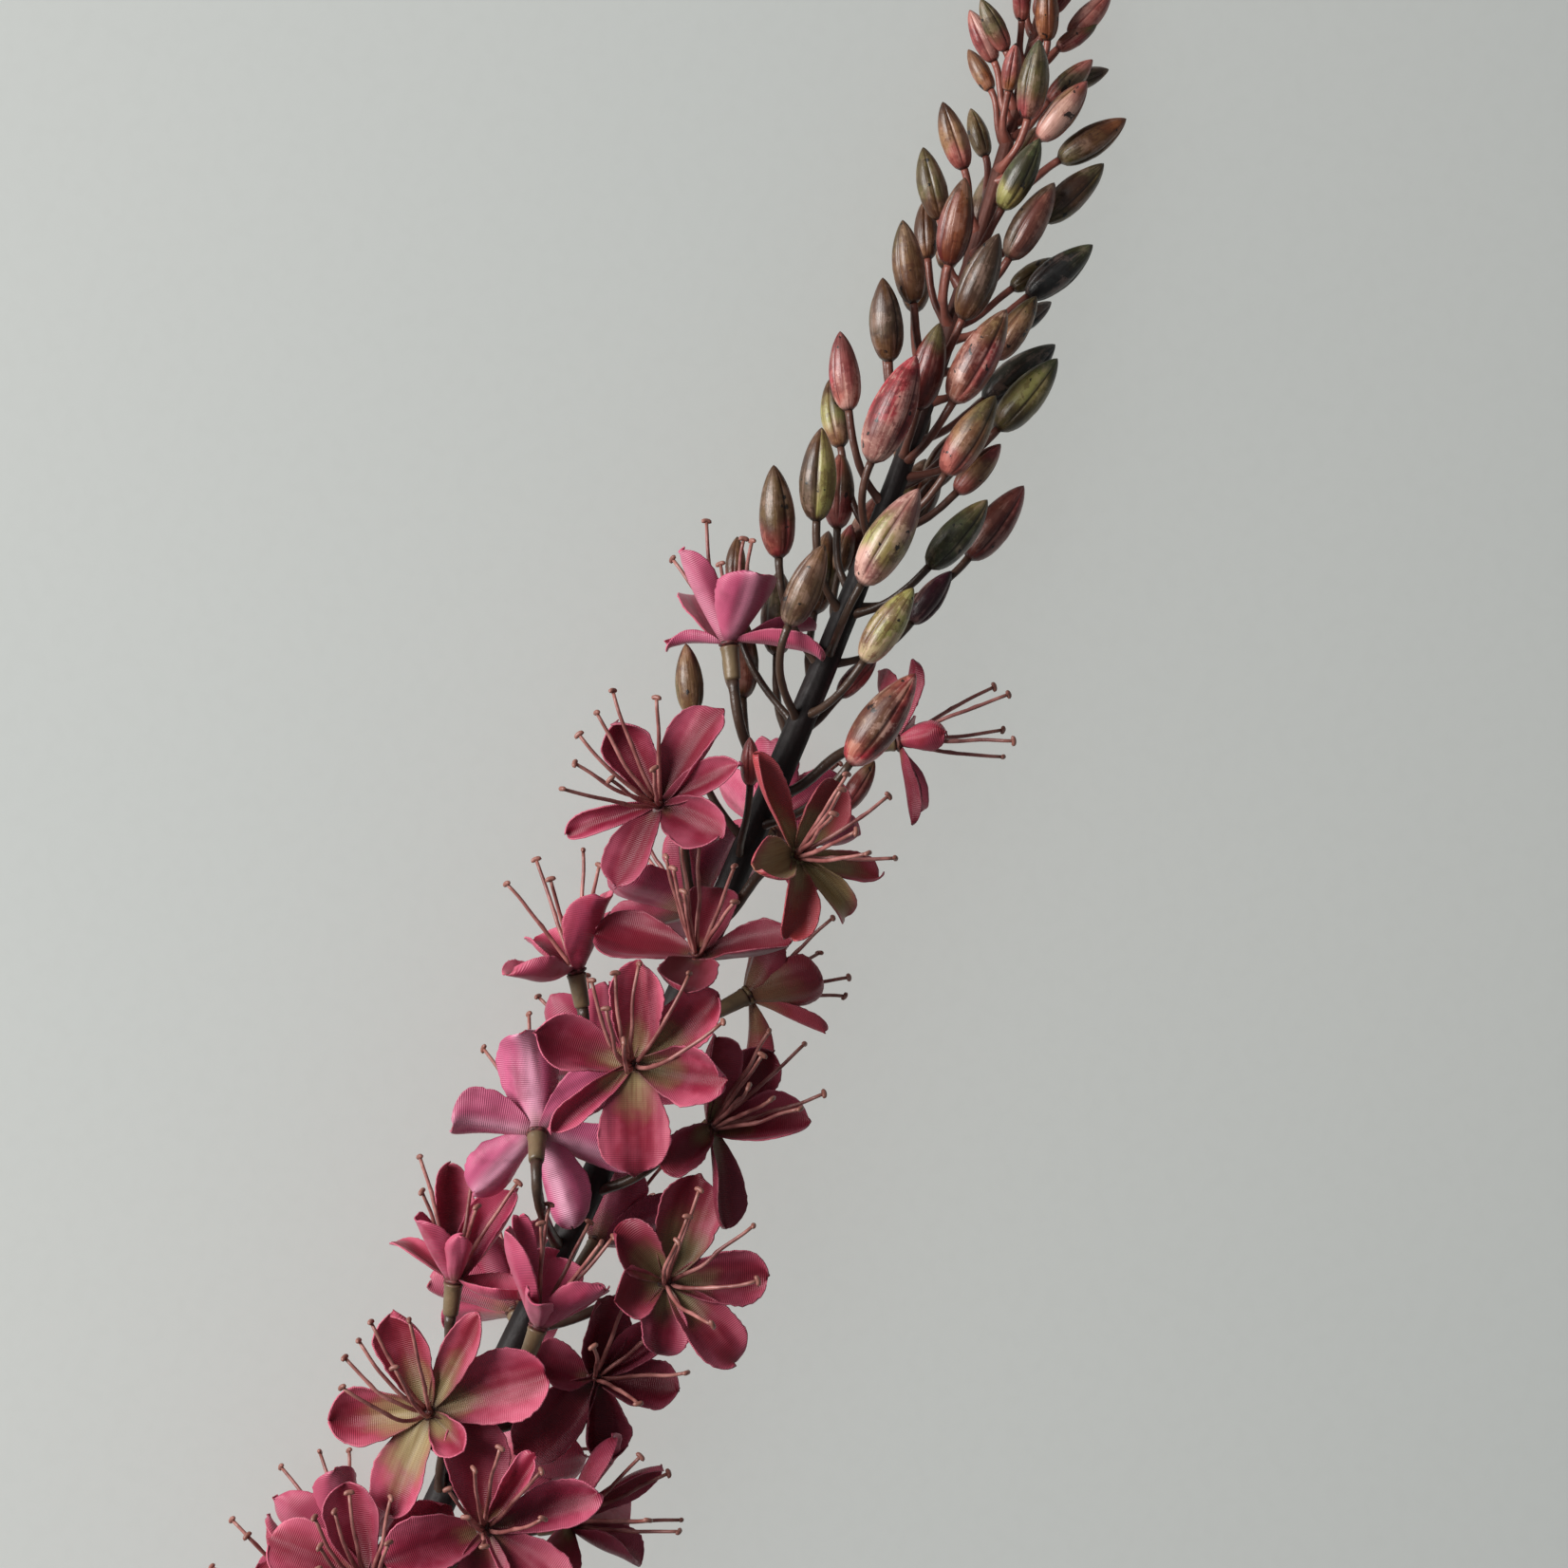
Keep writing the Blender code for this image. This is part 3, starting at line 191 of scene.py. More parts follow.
# The petals of the blooms in view, by the bloom's number. Each petal: the bearing it points to,
# counted from the stem's direction and seen from above; its rise; its length and width as shares
# of the usual ones; its curl, which is greater the more it bends back; how far it is cupped.
PETALS_IN_VIEW = {
    1: (
        (94, 12, 1.02, 0.98, -25, 0.40), (149, 11, 1.05, 0.56, 12, 0.56), (203, 13, 1.06, 1.08, 22, 0.12),
        (284, 22, 0.98, 0.95, -48, 0.50), (-38, 10, 1.08, 1.05, -14, 0.30), (18, 19, 1.02, 0.90, -20, 0.35),
    ),
    2: (
        (5, 1, 1.08, 1.06, -10, 0.30), (-65, -9, 0.98, 0.92, 14, 0.20), (227, 5, 1.05, 0.88, 18, 0.18),
        (195, 15, 0.68, 0.75, 10, 0.35), (108, 40, 0.62, 0.85, -45, 0.50), (62, 20, 0.72, 0.80, -10, 0.50),
    ),
    3: (
        (38, 6, 1.05, 1.00, -16, 0.35), (-14, 20, 1.20, 1.06, 10, 0.25), (-57, 12, 1.26, 1.10, -14, 0.30),
        (250, 35, 0.62, 0.70, -10, 0.40), (182, 5, 1.08, 0.92, 20, 0.20), (118, -3, 1.00, 0.94, -24, 0.45),
    ),
    4: (
        (48, 0, 1.00, 0.94, -34, 0.56), (-6, 7, 1.12, 1.02, -8, 0.32), (-44, 23, 1.02, 0.62, 8, 0.56),
        (263, 42, 1.04, 0.94, 16, 0.22), (177, 20, 0.98, 0.88, 20, 0.24), (130, -9, 1.00, 0.50, 16, 0.56),
    ),
    5: (
        (45, 18, 1.28, 0.62, -8, 0.56), (-8, 1, 0.92, 0.96, -24, 0.40), (272, -22, 1.02, 0.58, 22, 0.55),
        (242, -10, 0.92, 0.60, 26, 0.50), (198, 28, 1.04, 0.84, 14, 0.24), (128, 60, 0.86, 0.92, -20, 0.48),
    ),
    6: (
        (37, 6, 1.12, 1.00, -14, 0.34), (-20, 20, 0.92, 0.96, -8, 0.30), (-49, 4, 1.22, 0.80, -22, 0.45),
        (254, 17, 1.00, 0.94, -10, 0.34), (200, 29, 0.98, 1.00, 8, 0.24), (128, 27, 1.06, 1.06, 6, 0.26),
    ),
    7: (
        (90, 2, 1.02, 1.04, 6, 0.24), (34, 11, 1.00, 0.90, -18, 0.40), (-20, 16, 1.00, 0.92, -14, 0.40),
        (282, 22, 1.00, 1.00, 0, 0.30), (218, 23, 1.00, 1.00, 10, 0.24), (154, 14, 1.00, 1.00, 8, 0.26),
    ),
    8: (
        (14, 4, 1.04, 1.02, 24, 0.44), (-40, -6, 1.00, 1.00, 10, 0.30), (272, -16, 1.00, 0.90, 14, 0.35),
        (226, 8, 1.04, 0.84, 26, 0.52), (158, -20, 1.00, 0.92, 14, 0.40), (104, 4, 0.84, 1.04, 22, 0.46),
    ),
    9: (
        (52, 8, 1.10, 0.66, 6, 0.56), (0, 28, 0.94, 1.00, -16, 0.44), (282, 6, 0.98, 0.72, 14, 0.50),
        (-56, -30, 1.00, 0.95, 0, 0.35), (32, -42, 1.00, 0.95, 0, 0.30), (160, -12, 0.62, 0.90, 26, 0.40),
    ),
    10: (
        (57, 30, 1.00, 0.92, -18, 0.50), (110, -2, 1.05, 1.02, -8, 0.34), (-56, 22, 1.02, 0.96, -10, 0.44),
        (284, -12, 0.98, 0.92, -14, 0.44), (190, 45, 0.90, 1.00, 8, 0.30), (-4, -55, 0.80, 0.90, -6, 0.30),
    ),
    11: (
        (-60, 20, 0.98, 1.00, -12, 0.40), (-30, -25, 1.00, 0.95, -8, 0.36), (214, -8, 1.02, 0.86, 10, 0.26),
        (239, -30, 1.12, 0.55, 14, 0.50), (166, 30, 0.70, 0.76, 16, 0.50), (20, 16, 1.00, 0.95, -8, 0.40),
    ),
    12: (
        (39, 16, 1.18, 0.90, -10, 0.55), (22, 36, 0.86, 0.95, -12, 0.50), (27, -14, 1.12, 1.00, -6, 0.30),
        (-21, 10, 0.80, 0.90, 0, 0.40), (-48, -10, 0.80, 0.90, 0, 0.35), (-10, -46, 1.00, 1.00, 0, 0.30),
    ),
    13: (
        (40, 20, 0.88, 0.75, -12, 0.56), (25, 48, 0.80, 0.80, -14, 0.50), (17, -12, 1.24, 1.00, -8, 0.34),
        (-13, -20, 1.10, 0.95, 0, 0.40), (277, 10, 0.72, 0.90, -34, 0.48), (62, -30, 0.75, 0.85, 0, 0.30),
    ),
    14: (
        (10, 10, 0.85, 0.70, -10, 0.45), (40, -35, 0.90, 0.80, 0, 0.40), (-50, -60, 0.60, 0.60, 0, 0.30),
        (217, -30, 0.90, 0.55, 8, 0.50), (210, 15, 0.90, 0.55, 8, 0.55), (-53, 25, 0.55, 0.55, 0, 0.40),
    ),
    15: (
        (112, 35, 0.85, 1.05, -56, 0.56), (142, -12, 1.05, 1.0, -20, 0.45), (-18, 25, 1.0, 1.0, -20, 0.5),
        (282, 0, 0.80, 0.90, -10, 0.45), (56, -30, 0.65, 0.90, 0, 0.35), (7, -35, 0.80, 0.90, 0, 0.34),
    ),
    16: (
        (82, 15, 0.70, 0.80, -20, 0.50), (12, 20, 0.85, 0.90, -12, 0.40), (-28, 12, 1.00, 0.90, -10, 0.40),
        (277, 5, 0.85, 0.90, -10, 0.45), (200, 5, 0.85, 1.00, -30, 0.50), (148, -8, 1.05, 1.00, 0, 0.35),
    ),
    17: (
        (-32, 5, 1.10, 1.05, -6, 0.34), (274, 25, 0.80, 1.10, -12, 0.40), (19, 10, 1.12, 1.15, -20, 0.40),
        (232, 0, 1.00, 1.00, -10, 0.44), (202, 20, 1.00, 0.95, 10, 0.30), (262, -44, 1.00, 1.00, 0, 0.30),
    ),
    18: (
        (-43, 14, 0.84, 1.00, 8, 0.36), (281, 4, 0.92, 0.62, 12, 0.50), (0, 0, 0.70, 0.90, -6, 0.40),
        (207, -6, 1.00, 0.70, 16, 0.45), (280, -52, 1.00, 1.00, 0, 0.30), (2, -48, 1.00, 1.00, 0, 0.30),
    ),
}

# Each bud: station, side and height of its foot; length; lean to the side; rise.
BUDS = (
    (249, -19, 5, 21, -24, 6), (235, -11, 16, 20, 2, 12), (208, -24, 2, 16, -25, 0),
    (239, -26, -5, 12, -22, -6), (260, -14, 9, 21, -21, 8), (261, -9, -4, 18, -19, -8),
    (279, -15, -5, 16, -33, -8), (287, -16, 4, 18, -29, 2), (277, -7, 14, 26, 1, 10),
    (293, -1, 8, 20, -8, 10), (281, -1, -6, 15, 7, -12), (297, 6, 13, 24, 8, 8),
    (311, 12, 5, 17, 12, 4), (302, 13, -5, 21, 31, -5), (296, 18, 4, 21, 19, 2),
    (281, 10, 12, 21, 10, 10), (279, 14, 0, 15, 22, -2), (269, 7, -6, 13, 9, -12),
    (250, 1, 17, 25, 9, 10), (266, 22, -3, 21, 17, -4), (260, 14, 8, 20, 21, 5),
    (247, 15, -1, 15, 16, -6), (234, 8, 13, 20, 11, 10), (211, 14, 17, 25, 14, 8),
    (225, 6, -5, 13, 19, -12), (201, 17, 2, 13, 12, -8), (252, -5, -10, 12, -8, -18),
    (198, -5, 15, 11, -21, 14), (316, -10, 4, 19, -30, 4), (301, -11, 5, 19, -25, 6),
    (337, -10, 2, 17, -37, 0), (328, -10, -4, 14, -27, -8), (327, -5, 8, 20, -12, 12),
    (316, 2, 11, 21, 1, 12), (350, -8, 4, 16, -42, 6), (356, -4, -4, 12, -40, -10),
    (344, 3, 8, 18, 8, 14), (334, 8, 6, 20, 9, 6), (346, 13, 2, 19, 28, 4),
    (361, 13, 1, 18, 38, 2), (363, 7, 6, 17, 20, 12), (329, 11, -4, 13, 33, -8),
    (328, 15, 1, 19, 30, 0), (320, 14, -7, 12, 30, -14), (377, -8, 2, 13, -48, 4),
    (371, -7, -2, 11, -50, -8), (371, -3, 6, 11, -14, 18), (366, 3, 9, 18, -13, 12),
    (373, 7, 1, 14, 25, 2), (378, 9, -2, 12, 46, -6), (386, 3, 5, 14, -24, 14),
    (390, 8, 0, 14, 24, 0), (380, -6, 5, 13, -50, 12),
)

# Buds below the stem line and round the tip follow a spiral.
GOLDEN_ANGLE = 137.5
UNDER_BUDS = 12
UNDER_FROM = 216.0
UNDER_STEP = 12.5
UNDER_ARC = 120.0
UNDER_REACH = (9.0, 17.0)
UNDER_LENGTH = (10.0, 21.0)
UNDER_SMALLEST = 0.5
UNDER_LEAN = 30.0
UNDER_RISE = -14.0
TIP_BUDS = 9
TIP_FROM = 386.0
TIP_STEP = 2.4
TIP_REACH = (1.5, 6.0)
TIP_LENGTH = (7.0, 11.0)
TIP_LEAN = 34.0


def along_table(table, at):
    """The value at one place of a table of (place, value), by straight lines."""
    if at <= table[0][0]:
        return table[0][1]
    for (a, first), (b, second) in zip(table, table[1:]):
        if at <= b:
            return first + (second - first) * (at - a) / (b - a)
    return table[-1][1]


def between(ends, share):
    return ends[0] + (ends[1] - ends[0]) * share


def stem_side(station):
    """How far the arched stem lies to the side of the straight line of stations."""
    past = max(0.0, station)
    return STEM_SLANT * station + STEM_ARCH * past**2 - STEM_RETURN * past**3


def stem_height(station):
    """The stem's height: level under the blooms, then drooping to the tip."""
    past = max(0.0, station - DROOP_FROM) / DROOP_LENGTH
    return STEM_RISE - STEM_DROOP * past**2


def place(station, side=0.0, up=0.0):
    return Vector((station, -(stem_side(station) + side), stem_height(station) + up))


def heading(along, side, up):
    return Vector((along, -side, up)).normalized()


def across(direction):
    """Two unit vectors square to a direction, the first as near the tip's direction as can be."""
    ahead = Vector((1.0, 0.0, 0.0))
    if abs(direction.dot(ahead)) > 0.97:
        ahead = Vector((0.0, 0.0, 1.0))
    first = (ahead - direction * ahead.dot(direction)).normalized()
    return first, direction.cross(first)


def bezier(points, t):
    """A point of the curve that the four (or three) control points draw."""
    while len(points) > 1:
        points = [a.lerp(b, t) for a, b in zip(points, points[1:])]
    return points[0]


def above_floor(point, room=0.0):
    return Vector((point.x, point.y, max(point.z, room)))


def point_round(centre, square, radius, angle):
    """The point at a radius from a centre, turned from the first direction in square to the second."""
    return centre + radius * (math.cos(angle) * square[0] + math.sin(angle) * square[1])


def ring(centre, square, radius, sides):
    return [point_round(centre, square, radius, 2 * math.pi * k / sides) for k in range(sides)]


def turned_sides(path):
    """For each point of a path, the direction ahead and two square to it, without twist."""
    directions, side = [], None
    for i in range(len(path)):
        ahead = (path[min(i + 1, len(path) - 1)] - path[max(i - 1, 0)]).normalized()
        side = across(ahead)[0] if side is None else (side - ahead * side.dot(ahead)).normalized()
        directions.append((ahead, (side, ahead.cross(side))))
    return directions


def path_length(path):
    return sum((b - a).length for a, b in zip(path, path[1:]))


def tube(path, radii, sides):
    """A closed tube with one ring at each point of the path; a last radius of 0 ends in a point."""
    verts, faces, rings = [], [], []
    for point, radius, (_, square) in zip(path, radii, turned_sides(path)):
        corners = [point] if radius == 0 else ring(point, square, radius, sides)
        rings.append(list(range(len(verts), len(verts) + len(corners))))
        verts += corners
    for last, following in zip(rings, rings[1:]):
        for k in range(sides):
            m = (k + 1) % sides
            if len(following) == 1:
                faces.append((last[k], last[m], following[0]))
            else:
                faces.append((last[k], last[m], following[m]))
                faces.append((last[k], following[m], following[k]))
    faces.append(tuple(reversed(rings[0])))
    if len(rings[-1]) > 1:
        faces.append(tuple(rings[-1]))
    return [above_floor(v) for v in verts], faces


def petal_point(petal, u, v, half):
    """The point of a petal's middle surface at u along and v across, where it is twice half wide.

    It comes with the direction square to the surface there.
    """
    start = math.radians(petal["opening"])
    curl = math.radians(petal["curl"]) or 1e-6
    lean = start + curl * u
    rise = petal["length"] * (math.sin(lean) - math.sin(start)) / curl
    out = petal["length"] * (math.cos(start) - math.cos(lean)) / curl
    turn = math.radians(petal["turn"])
    first, second = across(petal["axis"])
    outward = math.cos(turn) * first + math.sin(turn) * second
    sideways = petal["axis"].cross(outward)
    inner = petal["axis"] * math.sin(lean) - outward * math.cos(lean)
    point = petal["centre"] + petal["axis"] * (PETAL_ROOT_HEIGHT + rise)
    point = point + outward * (PETAL_ROOT_RADIUS + out)
    point = point + sideways * (v * half + petal["bend"] * u * u)
    point = point + inner * (petal["cup"] * half * v * v)
    normal = (inner - sideways * (2 * petal["cup"] * v)).normalized()
    return point, normal


def petal_frame(petal, u, v):
    return petal_point(petal, u, v, 0.5 * petal["width"] * along_table(PETAL_OUTLINE, u))


def sheet_points(petal, spare):
    """The points of a petal's two faces, and its rows of point numbers from root to tip."""
    half = PETAL_THICKNESS / 2 + spare
    grown = dict(petal, width=petal["width"] + 2 * spare)
    upper, lower, rows = [], [], []
    for u, places in PETAL_ROWS:
        row = []
        for v in places:
            point, normal = petal_frame(grown, u, v)
            if point.z < PETAL_THICKNESS / 2:
                point.z = PETAL_THICKNESS / 2
                normal = Vector((0.0, 0.0, math.copysign(1.0, normal.z)))
            row.append(len(upper))
            upper.append(point + normal * half)
            lower.append(point - normal * half)
        rows.append(row)
    return upper, lower, rows


def shell_faces(above, below, open_root):
    """The faces of a sheet, both sides split alike, with its rim and, unless open, its root."""
    faces = []
    for a, b, c, d in zip(above, above[1:], below, below[1:]):
        faces += strip(a, b)
        faces += [tuple(reversed(face)) for face in strip(c, d)]
        faces += [(b[0], a[0], c[0]), (b[0], c[0], d[0])]
        faces += [(a[-1], b[-1], d[-1]), (a[-1], d[-1], c[-1])]
    faces += end_faces(above[-1], below[-1])
    if not open_root:
        faces += end_faces(above[0][::-1], below[0][::-1])
    return faces


def end_faces(above, below):
    faces = []
    for a, b, c, d in zip(above, above[1:], below, below[1:]):
        faces += [(b, a, c), (b, c, d)]
    return faces


def blade(petal, spare=0.0):
    """A petal as a closed sheet. Spare thickens and widens it, to test it against others."""
    upper, lower, rows = sheet_points(petal, spare)
    under = [[i + len(upper) for i in row] for row in rows]
    return upper + lower, shell_faces(rows, under, open_root=False)


def strip(a, b):
    """The triangles between two rows of two or three points."""
    if len(a) == 2 and len(b) == 3:
        return [(a[0], a[1], b[1]), (a[0], b[1], b[0]), (a[1], b[2], b[1])]
    if len(a) == 3 and len(b) == 2:
        return [(a[0], a[1], b[0]), (a[1], a[2], b[1]), (a[1], b[1], b[0])]
    left = [(a[0], a[1], b[1]), (a[0], b[1], b[0])]
    right = [(a[1], a[2], b[1]), (a[2], b[2], b[1])]
    return left + right


def stalk_path(foot, direction, station, spread, bands):
    """Points from inside the stem to the foot of a bud or sleeve, arching towards the tip."""
    root = place(station)
    out = foot - root
    out.x = 0.0
    out.normalize()
    reach = (foot - root).length
    leaving = root + (out * LEAVING_OUT + LEAVING_FORWARD) * reach * spread
    arriving = foot - direction * reach * ARRIVING
    return [bezier([root, leaving, arriving, foot], k / bands) for k in range(bands + 1)]


def root_station(station, side, up):
    """Where a stalk leaves the stem, given the place of its foot."""
    return station - ROOT_BACK - ROOT_SLANT * math.hypot(side, up)


def bud_parts(row, bands):
    """The foot and direction of one bud, and the path and radius of its stalk."""
    station, side, up, length, lean, rise = row
    lean, rise = math.radians(lean), math.radians(rise)
    direction = heading(
        math.cos(lean) * math.cos(rise), math.sin(lean) * math.cos(rise), math.sin(rise)
    )
    foot = place(station, side, up)
    path = stalk_path(foot, direction, root_station(station, side, up), BUD_SPREAD, bands)
    thick = between((TIP_STALK_RADIUS, STALK_RADIUS), min(1.0, length / FULL_BUD))
    return foot, direction, path, thick


def bud_tube(row):
    length = row[3]
    bands = STALK_BANDS if length > SHORT_BUD else SHORT_STALK_BANDS
    foot, direction, path, thick = bud_parts(row, bands)
    radii = [thick] * len(path)
    for share, part in BUD_RINGS:
        path.append(foot + direction * length * share)
        radii.append(length * BUD_GIRTH * part)
    return tube(path, radii, STALK_SIDES)


def under_buds():
    """Buds on the far side of the stem, turned by the golden angle and kept to the lower half."""
    rows = []
    for k in range(UNDER_BUDS):
        station = UNDER_FROM + UNDER_STEP * k
        swing = math.radians((GOLDEN_ANGLE * k) % UNDER_ARC - UNDER_ARC / 2)
        size = 1.0 - (1.0 - UNDER_SMALLEST) * k / UNDER_BUDS
        reach = between(UNDER_REACH, size)
        lean = UNDER_LEAN * math.sin(swing)
        side, up = reach * math.sin(swing), -reach * math.cos(swing)
        rows.append((station, side, up, between(UNDER_LENGTH, size), lean, UNDER_RISE))
    return rows


def tip_buds():
    """The small buds that close the tip."""
    rows = []
    for k in range(TIP_BUDS):
        around = math.radians(GOLDEN_ANGLE * k)
        left = 1.0 - k / TIP_BUDS
        reach = between(TIP_REACH, left)
        side, up = math.cos(around), math.sin(around)
        lean, rise = TIP_LEAN * left * side, TIP_LEAN * left * up
        station = TIP_FROM + TIP_STEP * k
        rows.append((station, reach * side, reach * up, between(TIP_LENGTH, left), lean, rise))
    return rows


def bud_rows():
    return list(BUDS) + under_buds() + tip_buds()


def bloom_rows():
    names = "station side up along aside above opening turn sweep size".split()
    rows = [dict(zip(names, row), number=k + 1) for k, row in enumerate(BLOOMS)]
    for row in rows:
        row["petals"] = petals_in_view(row) if row["number"] in PETALS_IN_VIEW else drawn_petals(row)
    return rows


def petals_in_view(row):
    """The petals that the table gives, in order round the bloom."""
    axis = bloom_axis(row)
    first, second = across(axis)
    petals = []
    for bearing, rise, length, width, curl, cup in PETALS_IN_VIEW[row["number"]]:
        ahead, lift = math.radians(bearing), math.radians(rise)
        aim = Vector((math.cos(ahead), math.sin(ahead), math.tan(lift))).normalized()
        petal = {
            "turn": math.degrees(math.atan2(aim.dot(second), aim.dot(first))) % 360.0,
            "opening": math.degrees(aim.angle(axis)) - curl / 2,
            "curl": curl,
            "cup": cup,
            "bend": 0.0,
            "length": PETAL_LENGTH * row["size"] * length,
            "width": PETAL_WIDTH * row["size"] * width,
        }
        petals.append(petal)
    petals.sort(key=lambda petal: petal["turn"])
    turns = [petal["turn"] - SEAT_ANGLE * seat for seat, petal in enumerate(petals)]
    row["turn"] = sum(turns) / PETALS_PER_BLOOM
    for turn, petal in zip(turns, petals):
        astray = turn - row["turn"]
        petal["turn"] -= astray - max(-SEAT_SWING, min(SEAT_SWING, astray))
    return [seated(row, seat, petal) for seat, petal in enumerate(petals)]


def drawn_petals(row):
    """Petals set evenly round the bloom, each with its own seeded shape."""
    rng = random.Random(PETAL_SEED + row["number"])
    petals = []
    for seat in range(PETALS_PER_BLOOM):
        lean = OUTER_LEAN if seat % 2 else -INNER_LEAN
        petal = {name: rng.uniform(*ends) for name, ends in PETAL_SPREAD.items()}
        petal["turn"] += row["turn"] + SEAT_ANGLE * seat
        petal["opening"] += row["opening"] + lean
        petal["length"] *= PETAL_LENGTH * row["size"]
        petal["width"] *= PETAL_WIDTH * row["size"]
        petals.append(seated(row, seat, petal))
    return petals


def seated(row, seat, petal):
    return dict(petal, seat=seat, axis=bloom_axis(row), centre=bloom_centre(row))


def bloom_axis(row):
    return heading(row["along"], row["aside"], row["above"])


def bloom_centre(row):
    return place(row["station"], row["side"], row["up"])


def bloom_stalk(row, bands):
    """The path of a bloom's stalk, and the ends of the sleeve that it runs into."""
    axis = bloom_axis(row)
    top = bloom_centre(row) - axis * NODE_GAP
    foot = top - axis * SLEEVE_LENGTH
    station = root_station(foot.x, row["side"] * BLOOM_ROOT_SHARE, row["up"] * BLOOM_ROOT_SHARE)
    return stalk_path(foot, axis, station, BLOOM_SPREAD, bands), foot, top


def sleeve_tube(row):
    """A bloom's stalk with the sleeve that it ends in, just short of the petals' hub."""
    path, foot, top = bloom_stalk(row, STALK_BANDS)
    radii = [BLOOM_STALK_RADIUS] * len(path)
    for share, radius in ((0.1, SLEEVE_FOOT_RADIUS), (1.0, SLEEVE_TOP_RADIUS)):
        path.append(foot.lerp(top, share))
        radii.append(radius)
    return tube(path, radii, STALK_SIDES)


def stem_tube():
    path, radii = [], []
    for k in range(STEM_RINGS):
        station = STEM_START + (STEM_END - STEM_START) * k / (STEM_RINGS - 1)
        path.append(place(station))
        radii.append(along_table(STEM_RADII, station))
    return tube(path, radii, STEM_SIDES)


def hub_corners(row):
    """The lower and upper corners of the six-sided hub, one corner between each two petals."""
    axis, centre = bloom_axis(row), bloom_centre(row)
    turns = [math.radians(row["turn"] + SEAT_ANGLE * (k - 0.5)) for k in range(PETALS_PER_BLOOM)]
    lower = [point_round(centre, across(axis), HUB_RADIUS, turn) for turn in turns]
    return lower, [corner + axis * HUB_HEIGHT for corner in lower]


def bloom_mesh(row, petals):
    """The hub and its petals as one closed mesh: each petal grows out of one side of the hub."""
    lower, upper = hub_corners(row)
    sides = PETALS_PER_BLOOM
    verts = lower + upper
    faces = [tuple(reversed(range(sides))), tuple(range(sides, 2 * sides))]
    grown = {petal["seat"]: petal for petal in petals}
    for k in range(sides):
        left, right = k, (k + 1) % sides
        if k not in grown:
            faces.append((left, right, right + sides, left + sides))
            continue
        tops, bottoms, rows = sheet_points(grown[k], 0.0)
        above, below = [[left + sides, right + sides]], [[left, right]]
        for places in rows[1:]:
            above.append(list(range(len(verts), len(verts) + len(places))))
            verts += [tops[i] for i in places]
            below.append(list(range(len(verts), len(verts) + len(places))))
            verts += [bottoms[i] for i in places]
        faces += shell_faces(above, below, open_root=True)
    return verts, faces


def knob_mesh(row, paths):
    """The knob and its filaments as one closed mesh: each filament grows out of one side of it."""
    axis = bloom_axis(row)
    foot = bloom_centre(row) + axis * (HUB_HEIGHT + NODE_GAP)
    sides = FILAMENTS_PER_BLOOM
    verts = []
    for height, radius, half in ((0.0, KNOB_RADIUS, 0.0), (KNOB_HEIGHT, KNOB_TAPER * KNOB_RADIUS, 0.5)):
        for k in range(sides):
            verts.append(foot + axis * height + radius * spoke(row, (k + half) * 360.0 / sides))
    faces = [tuple(reversed(range(sides))), tuple(range(sides, 2 * sides))]
    for k in range(sides):
        after = (k + 1) % sides
        faces.append((after, after + sides, k + sides))
        last = (k, after, k + sides)
        if paths.get(k) is None:
            faces.append(last)
            continue
        path, radii = filament_rings(paths[k])
        hold = verts[last[0]] - (verts[last[0]] + verts[last[1]] + verts[last[2]]) / 3
        for i in range(1, len(path)):
            ahead = (path[min(i + 1, len(path) - 1)] - path[i - 1]).normalized()
            hold = (hold - ahead * hold.dot(ahead)).normalized()
            corners = ring(path[i], (hold, ahead.cross(hold)), radii[i], FILAMENT_SIDES)
            following = tuple(range(len(verts), len(verts) + FILAMENT_SIDES))
            verts += [above_floor(corner) for corner in corners]
            for m in range(FILAMENT_SIDES):
                n = (m + 1) % FILAMENT_SIDES
                faces.append((last[m], last[n], following[n]))
                faces.append((last[m], following[n], following[m]))
            last = following
        faces.append(last)
    return verts, faces


def spoke(row, angle):
    """A unit vector square to the bloom's heading, turned by an angle round it."""
    first, second = across(bloom_axis(row))
    return math.cos(math.radians(angle)) * first + math.sin(math.radians(angle)) * second


def crosses_itself(solid):
    """Whether faces that share no corner run into each other."""
    faces = solid[1]
    whole = tree(solid)
    return any(not set(faces[a]) & set(faces[b]) for a, b in whole.overlap(whole) if a < b)


def steps_either_way(most):
    return range(-most, most + 1)


def petal_choices():
    """Changes of opening, turn, length and width, from the least to the greatest."""
    openings, turns = steps_either_way(MOST_OPENING_STEPS), steps_either_way(MOST_TURN_STEPS)
    choices = []
    for opening, turn, length, width in product(openings, turns, LENGTH_SHARES, WIDTH_SHARES):
        cost = abs(opening) + abs(turn)
        cost += (1 - length) * SHORTER_COST + (1 - width) * NARROWER_COST
        choices.append((cost, opening * OPENING_STEP, turn * TURN_STEP, length, width))
    return sorted(choices)


def tree(solid):
    return BVHTree.FromPolygons(solid[0], solid[1])


def ball(solid):
    """A ball round a solid, as its centre and radius."""
    verts = solid[0]
    centre = sum(verts, Vector()) / len(verts)
    return centre, max((v - centre).length for v in verts)


class Crowd:
    """The solids placed so far, asked whether one more would touch them."""

    def __init__(self):
        self.members = []

    def add(self, solid, owner=None):
        self.members.append((owner, ball(solid), tree(solid)))

    def touches(self, solid, owner=None):
        centre, radius = ball(solid)
        mine = tree(solid)
        for name, (other, reach), standing in self.members:
            if name is not None and name == owner:
                continue
            if (other - centre).length < reach + radius and mine.overlap(standing):
                return True
        return False


